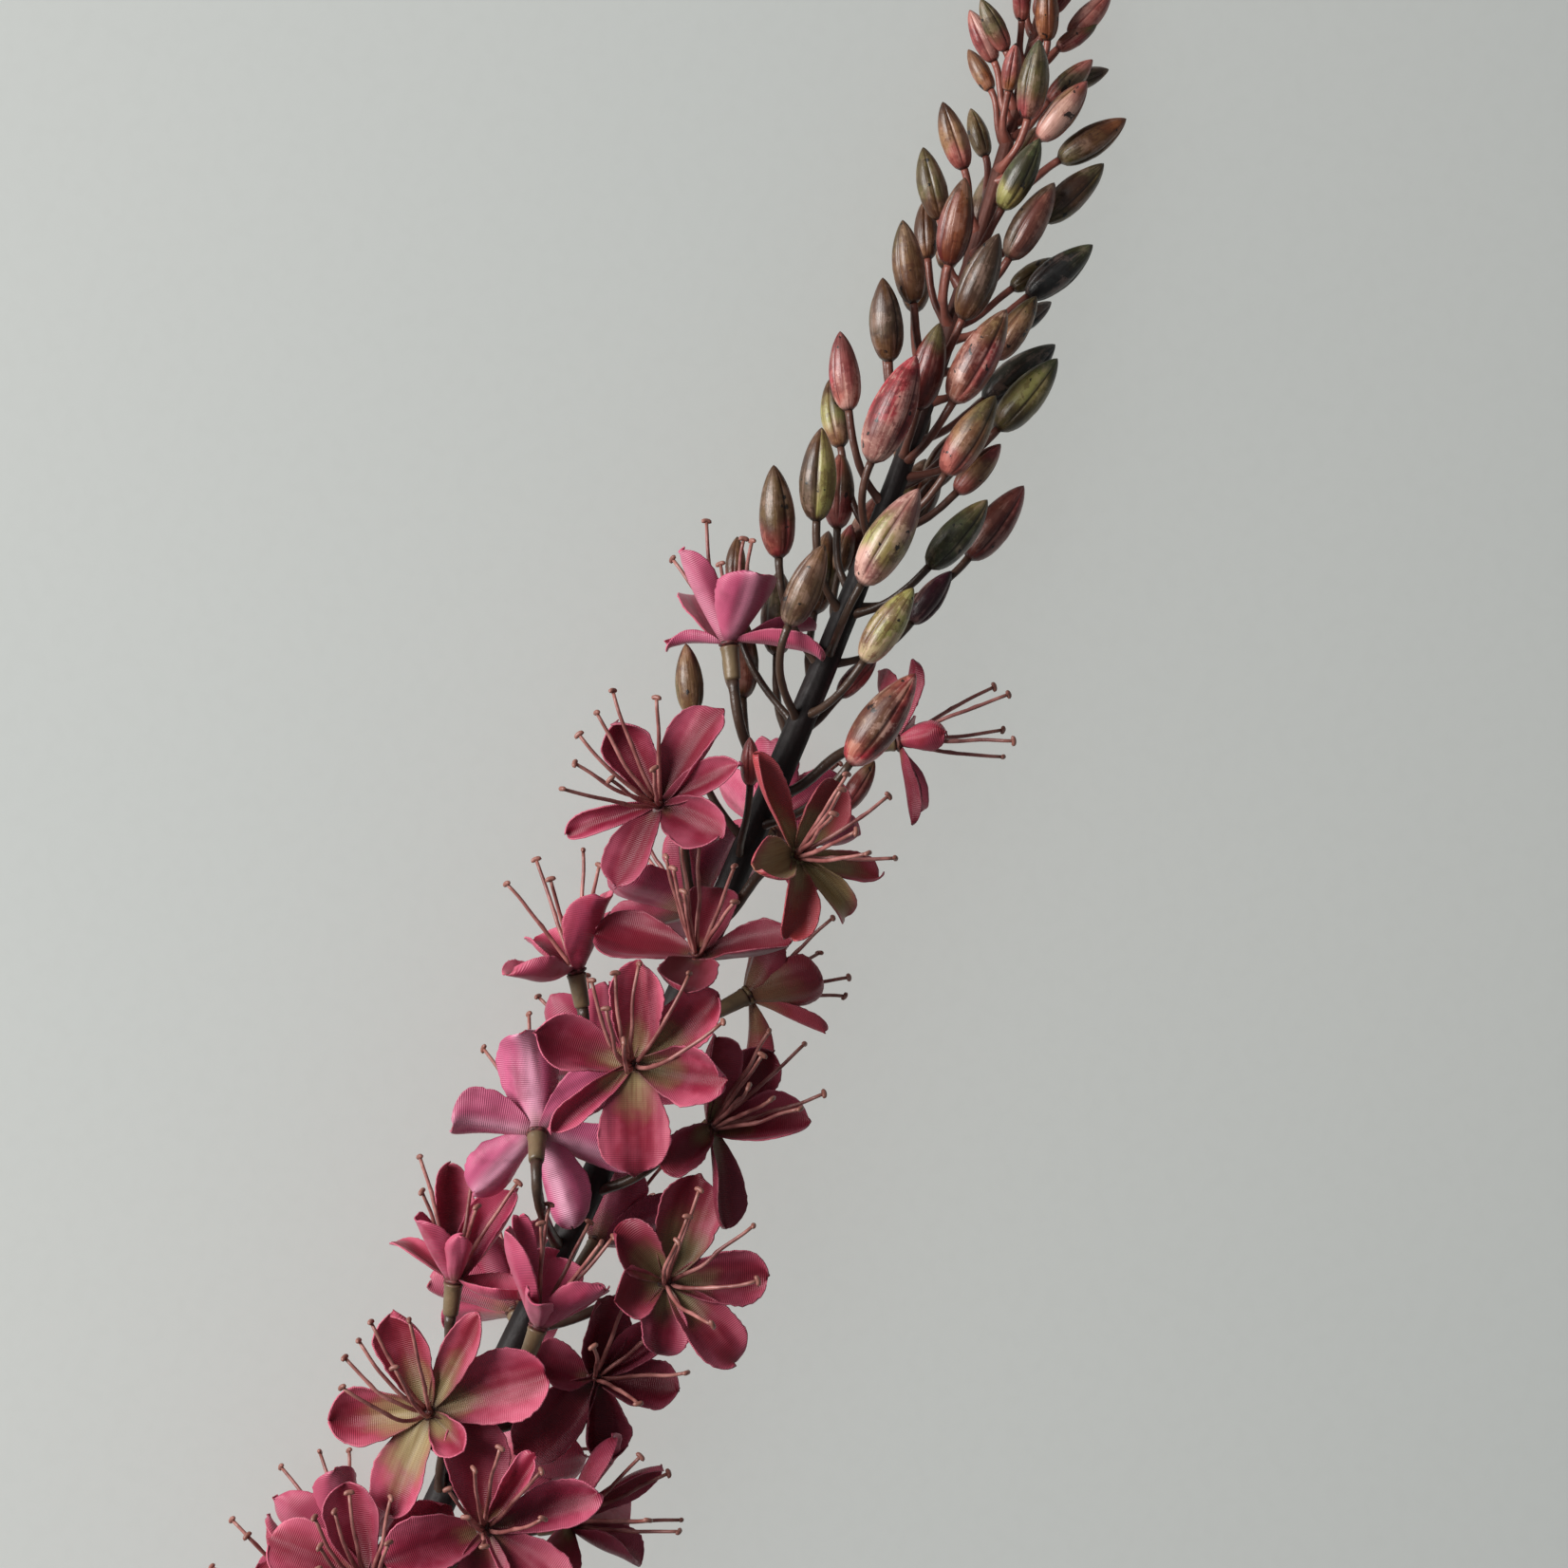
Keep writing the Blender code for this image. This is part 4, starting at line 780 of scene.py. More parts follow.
def fit_petal(row, petal, sisters, crowd, choices):
    """The petal as near its given shape as its neighbours and the surface below allow."""
    for _, opening, turn, length, width in choices:
        lean = petal["opening"] + opening
        if not LEAST_OPENING <= lean + petal["curl"] / 2 <= MOST_OPENING:
            continue
        tried = dict(petal, opening=lean, turn=petal["turn"] + turn)
        tried["length"] = petal["length"] * length
        tried["width"] = petal["width"] * width
        low = min(petal_frame(tried, u, v)[0].z for u, places in PETAL_ROWS for v in places)
        if low < -MOST_PRESSED or crowd.touches(blade(tried, CLEARANCE), ("petals", row["number"])):
            continue
        if not crosses_itself(bloom_mesh(row, sisters + [tried])):
            return tried
    return None


def petals_of(row, crowd, choices):
    petals = []
    for petal in row["petals"]:
        fitted = fit_petal(row, petal, petals, crowd, choices)
        if fitted:
            petals.append(fitted)
            crowd.add(blade(fitted), ("petals", row["number"]))
    return petals


def filament_path(row, seat, shift, spread, sweep, length, steps):
    """A filament from its side of the knob, curving out and towards the tip."""
    axis = bloom_axis(row)
    angle = (seat + 0.5) * 360.0 / FILAMENTS_PER_BLOOM
    outward = spoke(row, angle + shift)
    start = bloom_centre(row) + axis * (HUB_HEIGHT + NODE_GAP + FILAMENT_FOOT_UP * KNOB_HEIGHT)
    start = start + spoke(row, angle) * KNOB_RADIUS * FILAMENT_FOOT_OUT
    over = Vector((axis.x + SWEEP_TO_TIP, axis.y, 0.0)).normalized()
    aim = (axis * (1 - sweep) + over * sweep + outward * spread).normalized()
    bow = start + (axis + outward * (BOW_OUT + BOW_OUT * spread)).normalized() * length * BOW_AT
    path = [bezier([start, bow, start + aim * length], k / steps) for k in range(steps + 1)]
    return [path[0]] + [above_floor(p, ANTHER_RADIUS) for p in path[1:]]


def filament_rings(path):
    """The points and radii of a filament with the flat anther that closes it."""
    last = path[-1] + (path[-1] - path[-2]).normalized() * ANTHER_LENGTH
    return path + [last], [FILAMENT_RADIUS] * len(path) + [ANTHER_RADIUS]


def filament_tube(path, spare=0.0):
    path, radii = filament_rings(path)
    return tube(path, [radius + spare for radius in radii], FILAMENT_SIDES)


def filaments_of(row, crowd):
    """The filaments that find room, by the side of the knob they grow from."""
    rng = random.Random(FILAMENT_SEED + row["number"])
    paths = {}
    for seat in range(FILAMENTS_PER_BLOOM):
        wanted = rng.uniform(*FILAMENT_SPREAD)
        length = FILAMENT_LENGTH * rng.uniform(*FILAMENT_LENGTHS)
        for shift, spread, share in filament_choices(wanted):
            path = filament_path(row, seat, shift, spread, row["sweep"], length * share, FILAMENT_BANDS)
            if crowd.touches(filament_tube(path, CLEARANCE), ("stamens", row["number"])):
                continue
            if not crosses_itself(knob_mesh(row, {**paths, seat: path})):
                paths[seat] = path
                crowd.add(filament_tube(path), ("stamens", row["number"]))
                break
    return paths


def filament_choices(wanted):
    """Changes of turn, spread and length, from the least to the greatest."""
    choices = []
    shifts = steps_either_way(MOST_FILAMENT_STEPS)
    for shift, more, share in product(shifts, SPREAD_STEPS, FILAMENT_SHARES):
        cost = abs(shift) + abs(more) + (1 - share) * SHORTER_FILAMENT_COST
        spread = max(0.0, wanted + more * SPREAD_STEP)
        choices.append((cost, shift * FILAMENT_STEP, spread, share))
    return [choice[1:] for choice in sorted(choices)]


def layout():
    """Every solid's shape, with the petals and filaments bent clear of each other."""
    crowd = Crowd()
    stem = [stem_tube()]
    stem += [bud_tube(row) for row in bud_rows()]
    rows = bloom_rows()
    stem += [sleeve_tube(row) for row in rows]
    for solid in stem:
        crowd.add(solid)
    for row in rows:
        crowd.add(bloom_mesh(row, []), ("petals", row["number"]))
        crowd.add(knob_mesh(row, {}), ("stamens", row["number"]))
    choices = petal_choices()
    petals = [petals_of(row, crowd, choices) for row in rows]
    filaments = [filaments_of(row, crowd) for row in rows]
    return {"stem": stem, "rows": rows, "petals": petals, "filaments": filaments}


def centring_shift(spike):
    """The move that puts the origin at the middle of the bottom of the whole spike."""
    verts = [v for solid in spike["stem"] for v in solid[0]]
    for row, petals, paths in zip(spike["rows"], spike["petals"], spike["filaments"]):
        verts += bloom_mesh(row, petals)[0] + knob_mesh(row, paths)[0]
    low = [min(v[i] for v in verts) for i in range(3)]
    high = [max(v[i] for v in verts) for i in range(3)]
    return Vector((-(low[0] + high[0]) / 2, -(low[1] + high[1]) / 2, -low[2]))


# The range of the seeded value that sets one piece's pattern apart from the next
TINTS = (0.0, 20.0)

# Room that fine parts keep above the floor: stems and buds, the middle of filaments, and cloth
FLOOR_ROOM = 0.05
THREAD_ROOM = 0.6
SHEET_ROOM = 0.02

# Fine petals: how finely they are divided, where they start and stop, their outline and thickness
PETAL_STEPS = 26
PETAL_CROSS = 16
TIP_CROWDING = 1.3
RIM_CROWDING = 0.45 * math.pi
PETAL_START = -0.085
PETAL_STOP = 1.046
ROOT_STEP = 0.02
PETAL_END = 1.05
PETAL_WIDEST = 0.68
ROOT_HALF = 0.2
ROOT_LEAD = 0.03
ROOT_SWELL = 0.95
TIP_BLUNTNESS = 2.2
FULLER = 1.1
SHEET = 0.32

# A fine petal's seeded habit, as the least and greatest of each bend, and the shape of the bends
PETAL_HABIT = {
    "seed": (0, 100), "right_curl": (-0.3, 1.1), "left_curl": (-0.3, 1.1), "tip": (-0.9, 1.1),
    "notch": (-0.045, 0.05), "twist": (-1.0, 1.0), "hollow": (0.0, 0.24), "crease": (0.12, 0.3),
    "flute": (0.03, 0.13),
}
FINE_PETAL_SEED = 1300
NOTCH_DEEPENING = 6
NOTCH_WIDTH = 1.3
RIM_WAVE = 0.09
RIM_WAVES = 4.0
FRAY_DEPTH = 0.06
CREASE_WIDTH = 0.11
SIDE_CREASE_AT = 0.45
SIDE_CREASE_WIDTH = 0.09
SIDE_CREASE_DEPTH = 0.4
CREASE_FADE = 0.75
FLUTES = 7.5
BILLOW = 0.8
BILLOWS_ALONG = 2.0
BILLOWS_ACROSS = 1.2
ROOT_BILLOW = 0.15
RIM_FROM = 0.38
RIM_CURL = 5.5
BENT_TIP_FROM = 0.7
BENT_TIP = 19
TWIST = 1.6

# The cup that joins the petals' roots: radius and height of each ring
HEART_ROUND = 20
HEART_PROFILE = (
    (0.05, -0.25), (1.9, -0.22), (2.45, 0.2), (2.5, 0.6), (2.0, 0.95), (1.0, 1.05), (0.05, 1.0)
)
HEART_LOBE = 0.05

# Fine stamens: filaments, their anthers, and the rings of the knob that they grow from
FINE_STAMEN_SEED = 1700
THREAD_STEPS = 14
THREAD_ROUND = 7
THREAD_RADII = (0.55, 0.42)
THREAD_SWAY = 1.4
SWAY_FADE = 1.3
SWAYS = 3
NUB = 0.16
EXTRA_THREADS = {1: 2, 2: 1, 3: 1, 4: 3, 5: 2, 6: 2, 7: 2, 10: 2, 11: 2}
EXTRA_LENGTHS = (0.85, 1.08)
ANTHER_STEPS = 9
ANTHER_ROUND = 10
ANTHER_HALF = 1.25
ANTHER_THICK = 0.56
ANTHER_END = 0.08
ANTHER_WAIST = 0.86
ANTHER_LIFT = 0.5
ANTHER_SHARE = 1.15
ANTHER_DROOP = 0.45
KNOB_ROUND = 18
KNOB_PROFILE = (
    (1.25, 0.0), (1.55, 0.3), (1.5, 0.75), (1.15, 1.15), (0.75, 1.2), (0.45, 0.85), (0.05, 0.75)
)
KNOB_SUNK = 0.35
KNOB_LOBE = 0.06

# Fine stem and stalks
STALK_SEED = 2100
STEM_ROUND = 40
STEM_STEPS = 190
GROOVES = 11
GROOVE_DEPTH = 0.045
GROOVE_TWIST = 0.02
BUMP_HEIGHT = 0.14
BUMPS_ALONG = 0.09
BUMPS_ROUND = 1.4
CUT_ROUNDING = 0.25
STALK_STEPS = 18
STALK_ROUND = 10
STALK_ROUGHNESS = 0.1
STALK_BUMPS = 0.35
ROOT_FLARE = 0.9
ROOT_FLARE_LENGTH = 2.6
END_FLARE_FROM = 0.88
BUD_STALK_FLARE = 0.4
BLOOM_STALK_FLARE = 1.2

# Fine sleeves: share of the length and radius of each ring
SLEEVE_ROUND = 20
SLEEVE_PROFILE = (
    (-0.02, 0.7), (0.0, 1.35), (0.03, 1.72), (0.09, 1.82), (0.3, 1.9), (0.6, 2.0), (0.86, 2.1),
    (0.93, 2.28), (0.98, 2.3), (1.0, 2.1),
)
SLEEVE_ROUGHNESS = 0.02

# Fine buds: their outline, their three seams and the relief between these
BUD_STEPS = 26
BUD_ROUND = 30
BUD_CROWDING = 1.25
BUD_LONGER = 1.02
BUD_SLIMMER = 0.97
BUD_FOOT_WIDER = 1.15
BUD_BENDS = (-0.03, 0.05)
BUD_WIDEST = 0.4
BUD_SWELL = 0.62
BUD_FULLNESS = 1.95
BUD_POINT = 0.78
BUD_TIP_RADIUS = 0.06
SEAMS = 3
SEAM_OFFSETS = (-0.16, -0.07, 0.0, 0.07, 0.16)
SEAM_WIDTH = 0.1
SEAM_DEPTH = 0.11
LOBE_HEIGHT = 0.05
LOBE_TURN = 0.9
RIDGES = 21
RIDGE_HEIGHT = 0.012
DENT_DEPTH = 0.05
DENTS_ALONG = 2.5
RELIEF_FROM_FOOT = 6
RELIEF_TO_TIP = 5
RELIEF_AT_TIP = 0.25

# Bud paint, as shares of a bud's length: where its foot's colour ends and its tip's begins, how
# far these wander, and the edge, place and length of its patch
PAINT_WANDER = 0.22
FOOT_ENDS = (0.18, 0.42)
TIP_BEGINS = (0.58, 0.82)
PATCH_EDGE = (0.25, 0.6)
PATCH_TURN = 1.0
PATCH_WANDER = 0.6
PATCH_MIDDLE = 0.5
PATCH_SHORTNESS = 2.2

# The picture: size of a pixel at the stem, image directions, and the point the camera looks at
PIXEL = 0.22
PICTURE = 1652
LEFT_TO_RIGHT = (0.3762, -0.9265, 0.0)
BOTTOM_TO_TOP = (0.9265, 0.3762, 0.0)
AIM = (201.1, -12.3, 30.0)
CAMERA_HEIGHT = 1.0
SENSOR = 36.0

# Stage: the floor, and each lamp's way to the picture's left and top, height, size and power
FLOOR_SIZE = 4.0
FLOOR_CELLS = 24
KEY = (1.35, 0.45, 1.05, 1.0, 46.0)
FLOOR_KEY = (1.35, 0.12, 1.15, 2.2, 55.0)
LAMP_COLOUR = (1.0, 0.985, 0.965)
SKY_COLOUR = (0.93, 0.97, 1.0, 1.0)
SKY = 0.14

# Per bloom: how green its middle is, how mauve its backs are, how orange it is, how deep it is;
# its depth is mostly painted shade that darkens it and partly its own deeper dye, and below zero
# it is painted light that brightens its fronts
BLOOM_TONES = {
    1: (0.55, 0.3, 0.10, -0.05), 2: (0.75, 0.2, 0.10, 0.35), 3: (0.75, 0.2, 0.10, 0.0),
    4: (0.05, 0.4, 0.00, 0.35), 5: (1.35, 0.1, 0.60, -0.05), 6: (0.20, 0.1, 0.00, 0.0),
    7: (0.10, 0.1, 0.00, 0.0), 8: (0.10, 1.0, 0.00, -0.3), 9: (0.05, 0.5, 0.00, -0.2),
    10: (0.15, 0.1, 0.10, 0.5), 11: (0.60, 0.3, 0.15, 0.3), 12: (0.05, 0.3, 0.00, -0.3),
    13: (0.10, 0.3, 0.00, -0.2), 14: (0.25, 0.2, 0.35, 0.2), 15: (0.05, 0.25, 0.00, -0.1),
    16: (0.10, 0.2, 0.00, 0.4), 17: (0.30, 0.2, 0.15, 0.2), 18: (0.80, 0.2, 0.45, 0.2),
}
PLAIN_TONES = (0.45, 0.4, 0.1, 0.15)

# How far one petal's tones go from its bloom's: shares of its green and mauve, and steps for
# its warmth and its painted shade; then how much of the colour that a bud's words name is kept,
# and how strongly a bud is blotched when its words don't say.
GREEN_SPREAD = (0.4, 1.1)
MAUVE_SPREAD = (0.8, 1.1)
WARM_SPREAD = (-0.08, 0.12)
DEEP_SPREAD = (-0.1, 0.4)
BUD_DEPTH = (0.76, 0.74, 0.66)
MILD_MARKS = 0.35


def tone(*colour):
    """The shader's linear colour for one of 0 to 255 as the eye sees it in soft daylight."""
    shares = [c / 255.0 for c in colour]
    return [s / 12.92 if s <= 0.04045 else ((s + 0.055) / 1.055) ** 2.4 for s in shares]


# Cloth: its colours, its gloss, and the pitch of its ribs and threads
ROSE = tone(166, 40, 72)
ROSE_PALE = tone(228, 116, 144)
ROSE_HOT = tone(212, 86, 122)
ROSE_DEEP = tone(90, 12, 28)
ORANGE = tone(168, 62, 54)
OLIVE_HEART = tone(176, 162, 114)
OLIVE_DARK = tone(136, 112, 76)
OLIVE_BACK = tone(168, 92, 66)
HEART_SHADE = tone(66, 54, 30)
MAUVE = tone(198, 84, 126)
MAUVE_PALE = tone(236, 168, 194)
FRAY = tone(232, 140, 156)
# Painted shade laid on each petal near its root, deep in the bloom's throat
PAINTED_THROAT_SHADE = tone(70, 30, 32)
CLOTH_GLOSS = {
    "Sheen_Weight": 0.2, "Sheen_Roughness": 0.3, "Sheen_Tint": (1.0, 0.7, 0.78, 1.0),
    "Specular_IOR_Level": 0.36, "IOR": 1.5, "Coat_Weight": 0.08, "Coat_Roughness": 0.35,
}
RIB = 0.44
THREAD = 0.3

# The cup in a bloom's middle, and the stamens
HEART_ROSY = tone(120, 50, 60)
HEART_OLIVE = tone(132, 118, 78)
HEART_DARK = tone(62, 36, 34)
STAMEN_DARK = tone(128, 68, 66)
STAMEN_PALE = tone(186, 124, 118)
STAMEN_TIP = tone(138, 92, 76)
STAMEN_FOOT = tone(74, 36, 34)
STAMEN_SPECK = tone(96, 50, 50)

# Stem and stalks: the two colours of their streaks low down and near the tip, the stations
# between which one gives way to the other, and their gloss and least roughness
STEM_LOOKS = {
    "stem_plastic": (
        (tone(19, 15, 17), tone(34, 26, 25)), (tone(86, 48, 44), tone(128, 82, 70)), (275, 345), 0.3, 0.4
    ),
    "stalk_plastic": (
        (tone(44, 31, 27), tone(86, 64, 50)), (tone(104, 54, 46), tone(164, 98, 84)), (250, 350), 0.5, 0.2
    ),
}
STEM_SPECK = tone(26, 22, 20)
SLEEVE_DARK = tone(82, 68, 50)
SLEEVE_PALE = tone(142, 120, 90)
SLEEVE_LIP = tone(104, 62, 54)
SLEEVE_FOOT = tone(72, 56, 40)
SLEEVE_SPECK = tone(60, 48, 36)

# Buds, as they are named below, and their marks
TONES = {
    "brown": tone(110, 76, 50), "grey": tone(100, 80, 64), "tan": tone(168, 126, 94),
    "rose": tone(172, 80, 84), "pale": tone(236, 186, 180), "lime": tone(176, 172, 106),
    "olive": tone(110, 98, 62), "green": tone(86, 92, 62), "coal": tone(48, 48, 50),
    "plum": tone(78, 30, 50), "red": tone(128, 54, 52), "rust": tone(160, 98, 62),
    "pink": tone(196, 114, 108), "hot": tone(198, 66, 82), "cream": tone(206, 186, 150),
}
# Darkening for a bud's blotches, also used as painted shade in its seam grooves
BUD_BLOTCH_AND_SHADE = (0.3, 0.12, 0.13)
BUD_PALE_MARK = tone(228, 186, 172)
BUD_FOOT = tone(44, 28, 24)
BUD_SPECK = tone(24, 20, 20)

# Floor
PAPER_COOL = tone(197, 202, 200)
PAPER_WARM = tone(203, 205, 202)
PAPER_GRAIN = tone(180, 182, 178)

# Each bud's colours from foot to tip, the colour of a patch on one side, how strong that is and,
# for a few buds, how strongly they are blotched.
BUD_TONES = (
    "rose brown brown olive 0.3", "grey grey brown tan 0.3", "olive olive brown tan 0.5",
    "rose brown brown tan 0.3", "grey grey brown lime 1.0", "rose grey brown pink 0.5",
    "tan lime brown coal 0.5", "pink hot rose pale 0.4 0.9", "pale hot hot red 0.4 1.0",
    "red red olive rust 0.4", "tan olive brown tan 0.4", "pink rose tan olive 0.4 0.9",
    "pink tan olive tan 0.4", "coal coal coal green 0.2", "olive lime green coal 0.3",
    "pink tan olive pale 0.5", "pink tan rose grey 0.4", "grey grey grey pink 0.3",
    "pale lime pale red 0.4 0.8", "red red rose grey 0.4", "green green olive coal 0.5",
    "plum plum plum brown 0.3", "cream lime lime red 0.4 0.8", "hot red hot cream 0.4 1.0",
    "rose rose red red 0.3", "rose red brown red 0.3", "brown brown rose tan 0.3",
    "rose rose rose pale 0.3", "brown brown olive tan 0.4", "brown grey brown coal 0.3",
    "brown olive olive tan 0.4", "tan brown brown rust 0.4", "red red brown rust 0.6",
    "brown grey grey tan 0.3", "pink tan brown rose 0.5", "olive olive olive brown 0.4",
    "lime green green pale 0.6", "grey grey grey pink 0.4", "olive brown olive coal 0.4",
    "olive brown rust olive 0.4", "pink tan pink pale 0.7", "olive olive olive tan 0.4",
    "coal coal green green 0.3", "coal coal coal grey 0.3", "pink rose pink pale 0.8",
    "rust tan tan pale 0.5", "rust pink pink rose 0.5", "rose olive green olive 0.5",
    "pink olive pink coal 0.4", "olive olive brown coal 0.3", "rust rust brown tan 0.4",
    "pink pink rose pale 0.4", "pink olive olive pink 0.4",
)
UNDER_TONES = "brown olive brown rose 0.4"
TIP_TONES = "pink rose olive tan 0.5"


def eased(value, low, high):
    """0 below low, 1 above high, and a smooth rise between."""
    t = np.clip((np.asarray(value, float) - low) / (high - low), 0.0, 1.0)
    return t * t * (3.0 - 2.0 * t)


class Piece:
    """The points, faces and values of one object while it grows."""

    def __init__(self, *values):
        self.verts, self.faces, self.looks = [], [], []
        self.values = {name: [] for name in values}

    def add(self, verts, faces, look, **values):
        first = sum(len(v) for v in self.verts)
        self.verts.append(np.asarray(verts, float))
        self.faces += [tuple(first + i for i in face) for face in faces]
        self.looks += [look] * len(faces) if isinstance(look, int) else list(look)
        for name in self.values:
            given = np.asarray(values.get(name, 0.0), float)
            self.values[name].append(np.broadcast_to(given, (len(verts),)).copy())

    def make(self, name, looks, shift):
        points = (np.concatenate(self.verts) + np.array(shift)) * MM
        mesh = bpy.data.meshes.new(name)
        mesh.from_pydata(points.tolist(), [], self.faces)
        for look in looks:
            mesh.materials.append(look)
        mesh.polygons.foreach_set("material_index", self.looks)
        for value, parts in self.values.items():
            layer = mesh.attributes.new(value, "FLOAT", "POINT")
            layer.data.foreach_set("value", np.concatenate(parts).astype(np.float32))
        mesh.shade_smooth()
        mesh.update()
        obj = bpy.data.objects.new(name, mesh)
        bpy.context.scene.collection.objects.link(obj)
        return obj


def grid_faces(rows, columns, first=0, closed=False, flip=False):
    """The four-sided faces of a grid of points, whose rows may close round."""
    faces = []
    for i in range(rows - 1):
        for j in range(columns if closed else columns - 1):
            k = (j + 1) % columns
            a, b = first + i * columns + j, first + i * columns + k
            face = (a, b, b + columns, a + columns)
            faces.append(tuple(reversed(face)) if flip else face)
    return faces


def lathed(path, radius_at, sides):
    """Rings of points round a path; radius_at(i, angle) gives each point's distance from it."""
    rings = []
    for i, (point, (_, square)) in enumerate(zip(path, turned_sides(path))):
        for k in range(sides):
            angle = 2 * math.pi * k / sides
            spot = point_round(point, square, radius_at(i, angle), angle)
            rings.append(above_floor(spot, FLOOR_ROOM))
    return np.array(rings)


def lobed(row, foot, profile, sides, lobes, depth, turn=0.0):
    """Rings round a bloom's heading, by their radii and heights over foot, with shallow lobes."""
    axis = bloom_axis(row)
    verts = []
    for radius, height in profile:
        for k in range(sides):
            angle = 2 * math.pi * k / sides
            swell = radius * (1 + depth * math.cos(lobes * angle + turn))
            verts.append(point_round(foot + axis * height, across(axis), swell, angle))
    return verts


def capped(rings, sides):
    """The faces of lathed rings with both ends closed."""
    rows = len(rings) // sides
    faces = grid_faces(rows, sides, closed=True)
    faces.append(tuple(reversed(range(sides))))
    faces.append(tuple(range((rows - 1) * sides, rows * sides)))
    return faces


# Petals

FRONT, BACK, HEART = 0, 1, 2
# Of these values, deep carries painted shade, and below zero painted light, onto each petal
PETAL_VALUES = ("share", "along", "side", "edge", "tint", "green", "mauve", "warm", "deep")


def fine_half(petal, u):
    """Half the width of a fine petal at u."""
    widest = 0.5 * FULLER * petal["width"]
    if u < PETAL_WIDEST:
        rise = max(0.0, u + ROOT_LEAD) / (PETAL_WIDEST + ROOT_LEAD)
        return widest * between((ROOT_HALF, 1.0), math.sin(0.5 * math.pi * rise) ** ROOT_SWELL)
    past = (u - PETAL_WIDEST) / (PETAL_END - PETAL_WIDEST)
    return widest * math.sqrt(max(0.0, 1.0 - min(past, 1.0) ** TIP_BLUNTNESS))


def petal_lift(habit, u, v, half):
    """How far the cloth stands off the plain petal, by its creases, flutes, billows and curls."""
    reach = max(0.0, u)
    crease = math.exp(-((v / CREASE_WIDTH) ** 2))
    crease += SIDE_CREASE_DEPTH * math.exp(-(((abs(v) - SIDE_CREASE_AT) / SIDE_CREASE_WIDTH) ** 2))
    lift = habit["flute"] * math.cos(FLUTES * v + habit["seed"]) - habit["crease"] * crease
    lift *= min(1.0, 4 * reach) * (1 - CREASE_FADE * reach**3)
    billow = noise.noise((u * BILLOWS_ALONG, v * BILLOWS_ACROSS, habit["seed"]))
    lift += BILLOW * billow * (ROOT_BILLOW + reach)
    curl = habit["right_curl"] if v > 0 else habit["left_curl"]
    curl *= RIM_CURL * max(0.0, abs(v) - RIM_FROM) ** 2
    lift += curl * math.sin(math.pi * min(1.0, reach))
    lift += habit["tip"] * BENT_TIP * max(0.0, u - BENT_TIP_FROM) ** 2
    lift += habit["twist"] * TWIST * v * reach**2
    return lift + habit["hollow"] * half * v * v * min(1.0, 2.5 * reach)


def petal_grid(petal, rng):
    """Points of a petal's middle surface with its bends and frayed rim, and their u and v."""
    habit = {name: rng.uniform(*ends) for name, ends in PETAL_HABIT.items()}
    points, us, vs = [], [], []
    for i in range(PETAL_STEPS + 1):
        row_u = between((PETAL_START, PETAL_STOP), 1 - (1 - i / PETAL_STEPS) ** TIP_CROWDING)
        reach = max(0.0, row_u)
        for j in range(PETAL_CROSS + 1):
            v = math.sin(RIM_CROWDING * (2 * j / PETAL_CROSS - 1)) / math.sin(RIM_CROWDING)
            u = row_u + habit["notch"] * reach**NOTCH_DEEPENING * (1 - abs(v)) ** NOTCH_WIDTH
            rim_row = 7.0 if v > 0 else -7.0
            ragged = RIM_WAVE * noise.noise((row_u * RIM_WAVES, rim_row, habit["seed"]))
            ragged += FRAY_DEPTH * (rng.random() - 0.5)
            half = fine_half(petal, row_u) * (1 + abs(v) ** 4 * ragged * min(1.0, 3 * reach))
            point, normal = petal_point(petal, max(u, 0.0), v, half)
            if u < 0:
                nearer, _ = petal_point(petal, ROOT_STEP, v, half)
                point = point + (nearer - point) * (u / ROOT_STEP)
            point = point + normal * petal_lift(habit, u, v, half)
            points.append(above_floor(point, 0.5 * SHEET))
            us.append(u)
            vs.append(v)
    return np.array(points), np.array(us), np.array(vs)


def sheet_mesh(points, rows, columns, thickness):
    """A grid of points thickened into a closed sheet: its points, underside, upper side and rim."""
    grid = points.reshape(rows, columns, 3)
    along = np.gradient(grid, axis=0)
    over = np.gradient(grid, axis=1)
    normal = np.cross(over, along)
    normal /= np.maximum(np.linalg.norm(normal, axis=2, keepdims=True), 1e-9)
    offset = 0.5 * thickness * normal
    verts = np.concatenate([(grid + offset).reshape(-1, 3), (grid - offset).reshape(-1, 3)])
    verts[:, 2] = np.maximum(verts[:, 2], SHEET_ROOM)
    count = rows * columns
    under = grid_faces(rows, columns)
    upper = grid_faces(rows, columns, first=count, flip=True)
    border = list(range(columns))
    border += [i * columns + columns - 1 for i in range(1, rows)]
    border += [(rows - 1) * columns + j for j in range(columns - 2, -1, -1)]
    border += [i * columns for i in range(rows - 2, 0, -1)]
    rim = [(b, a, a + count, b + count) for a, b in zip(border, border[1:] + border[:1])]
    return verts, under, upper, rim


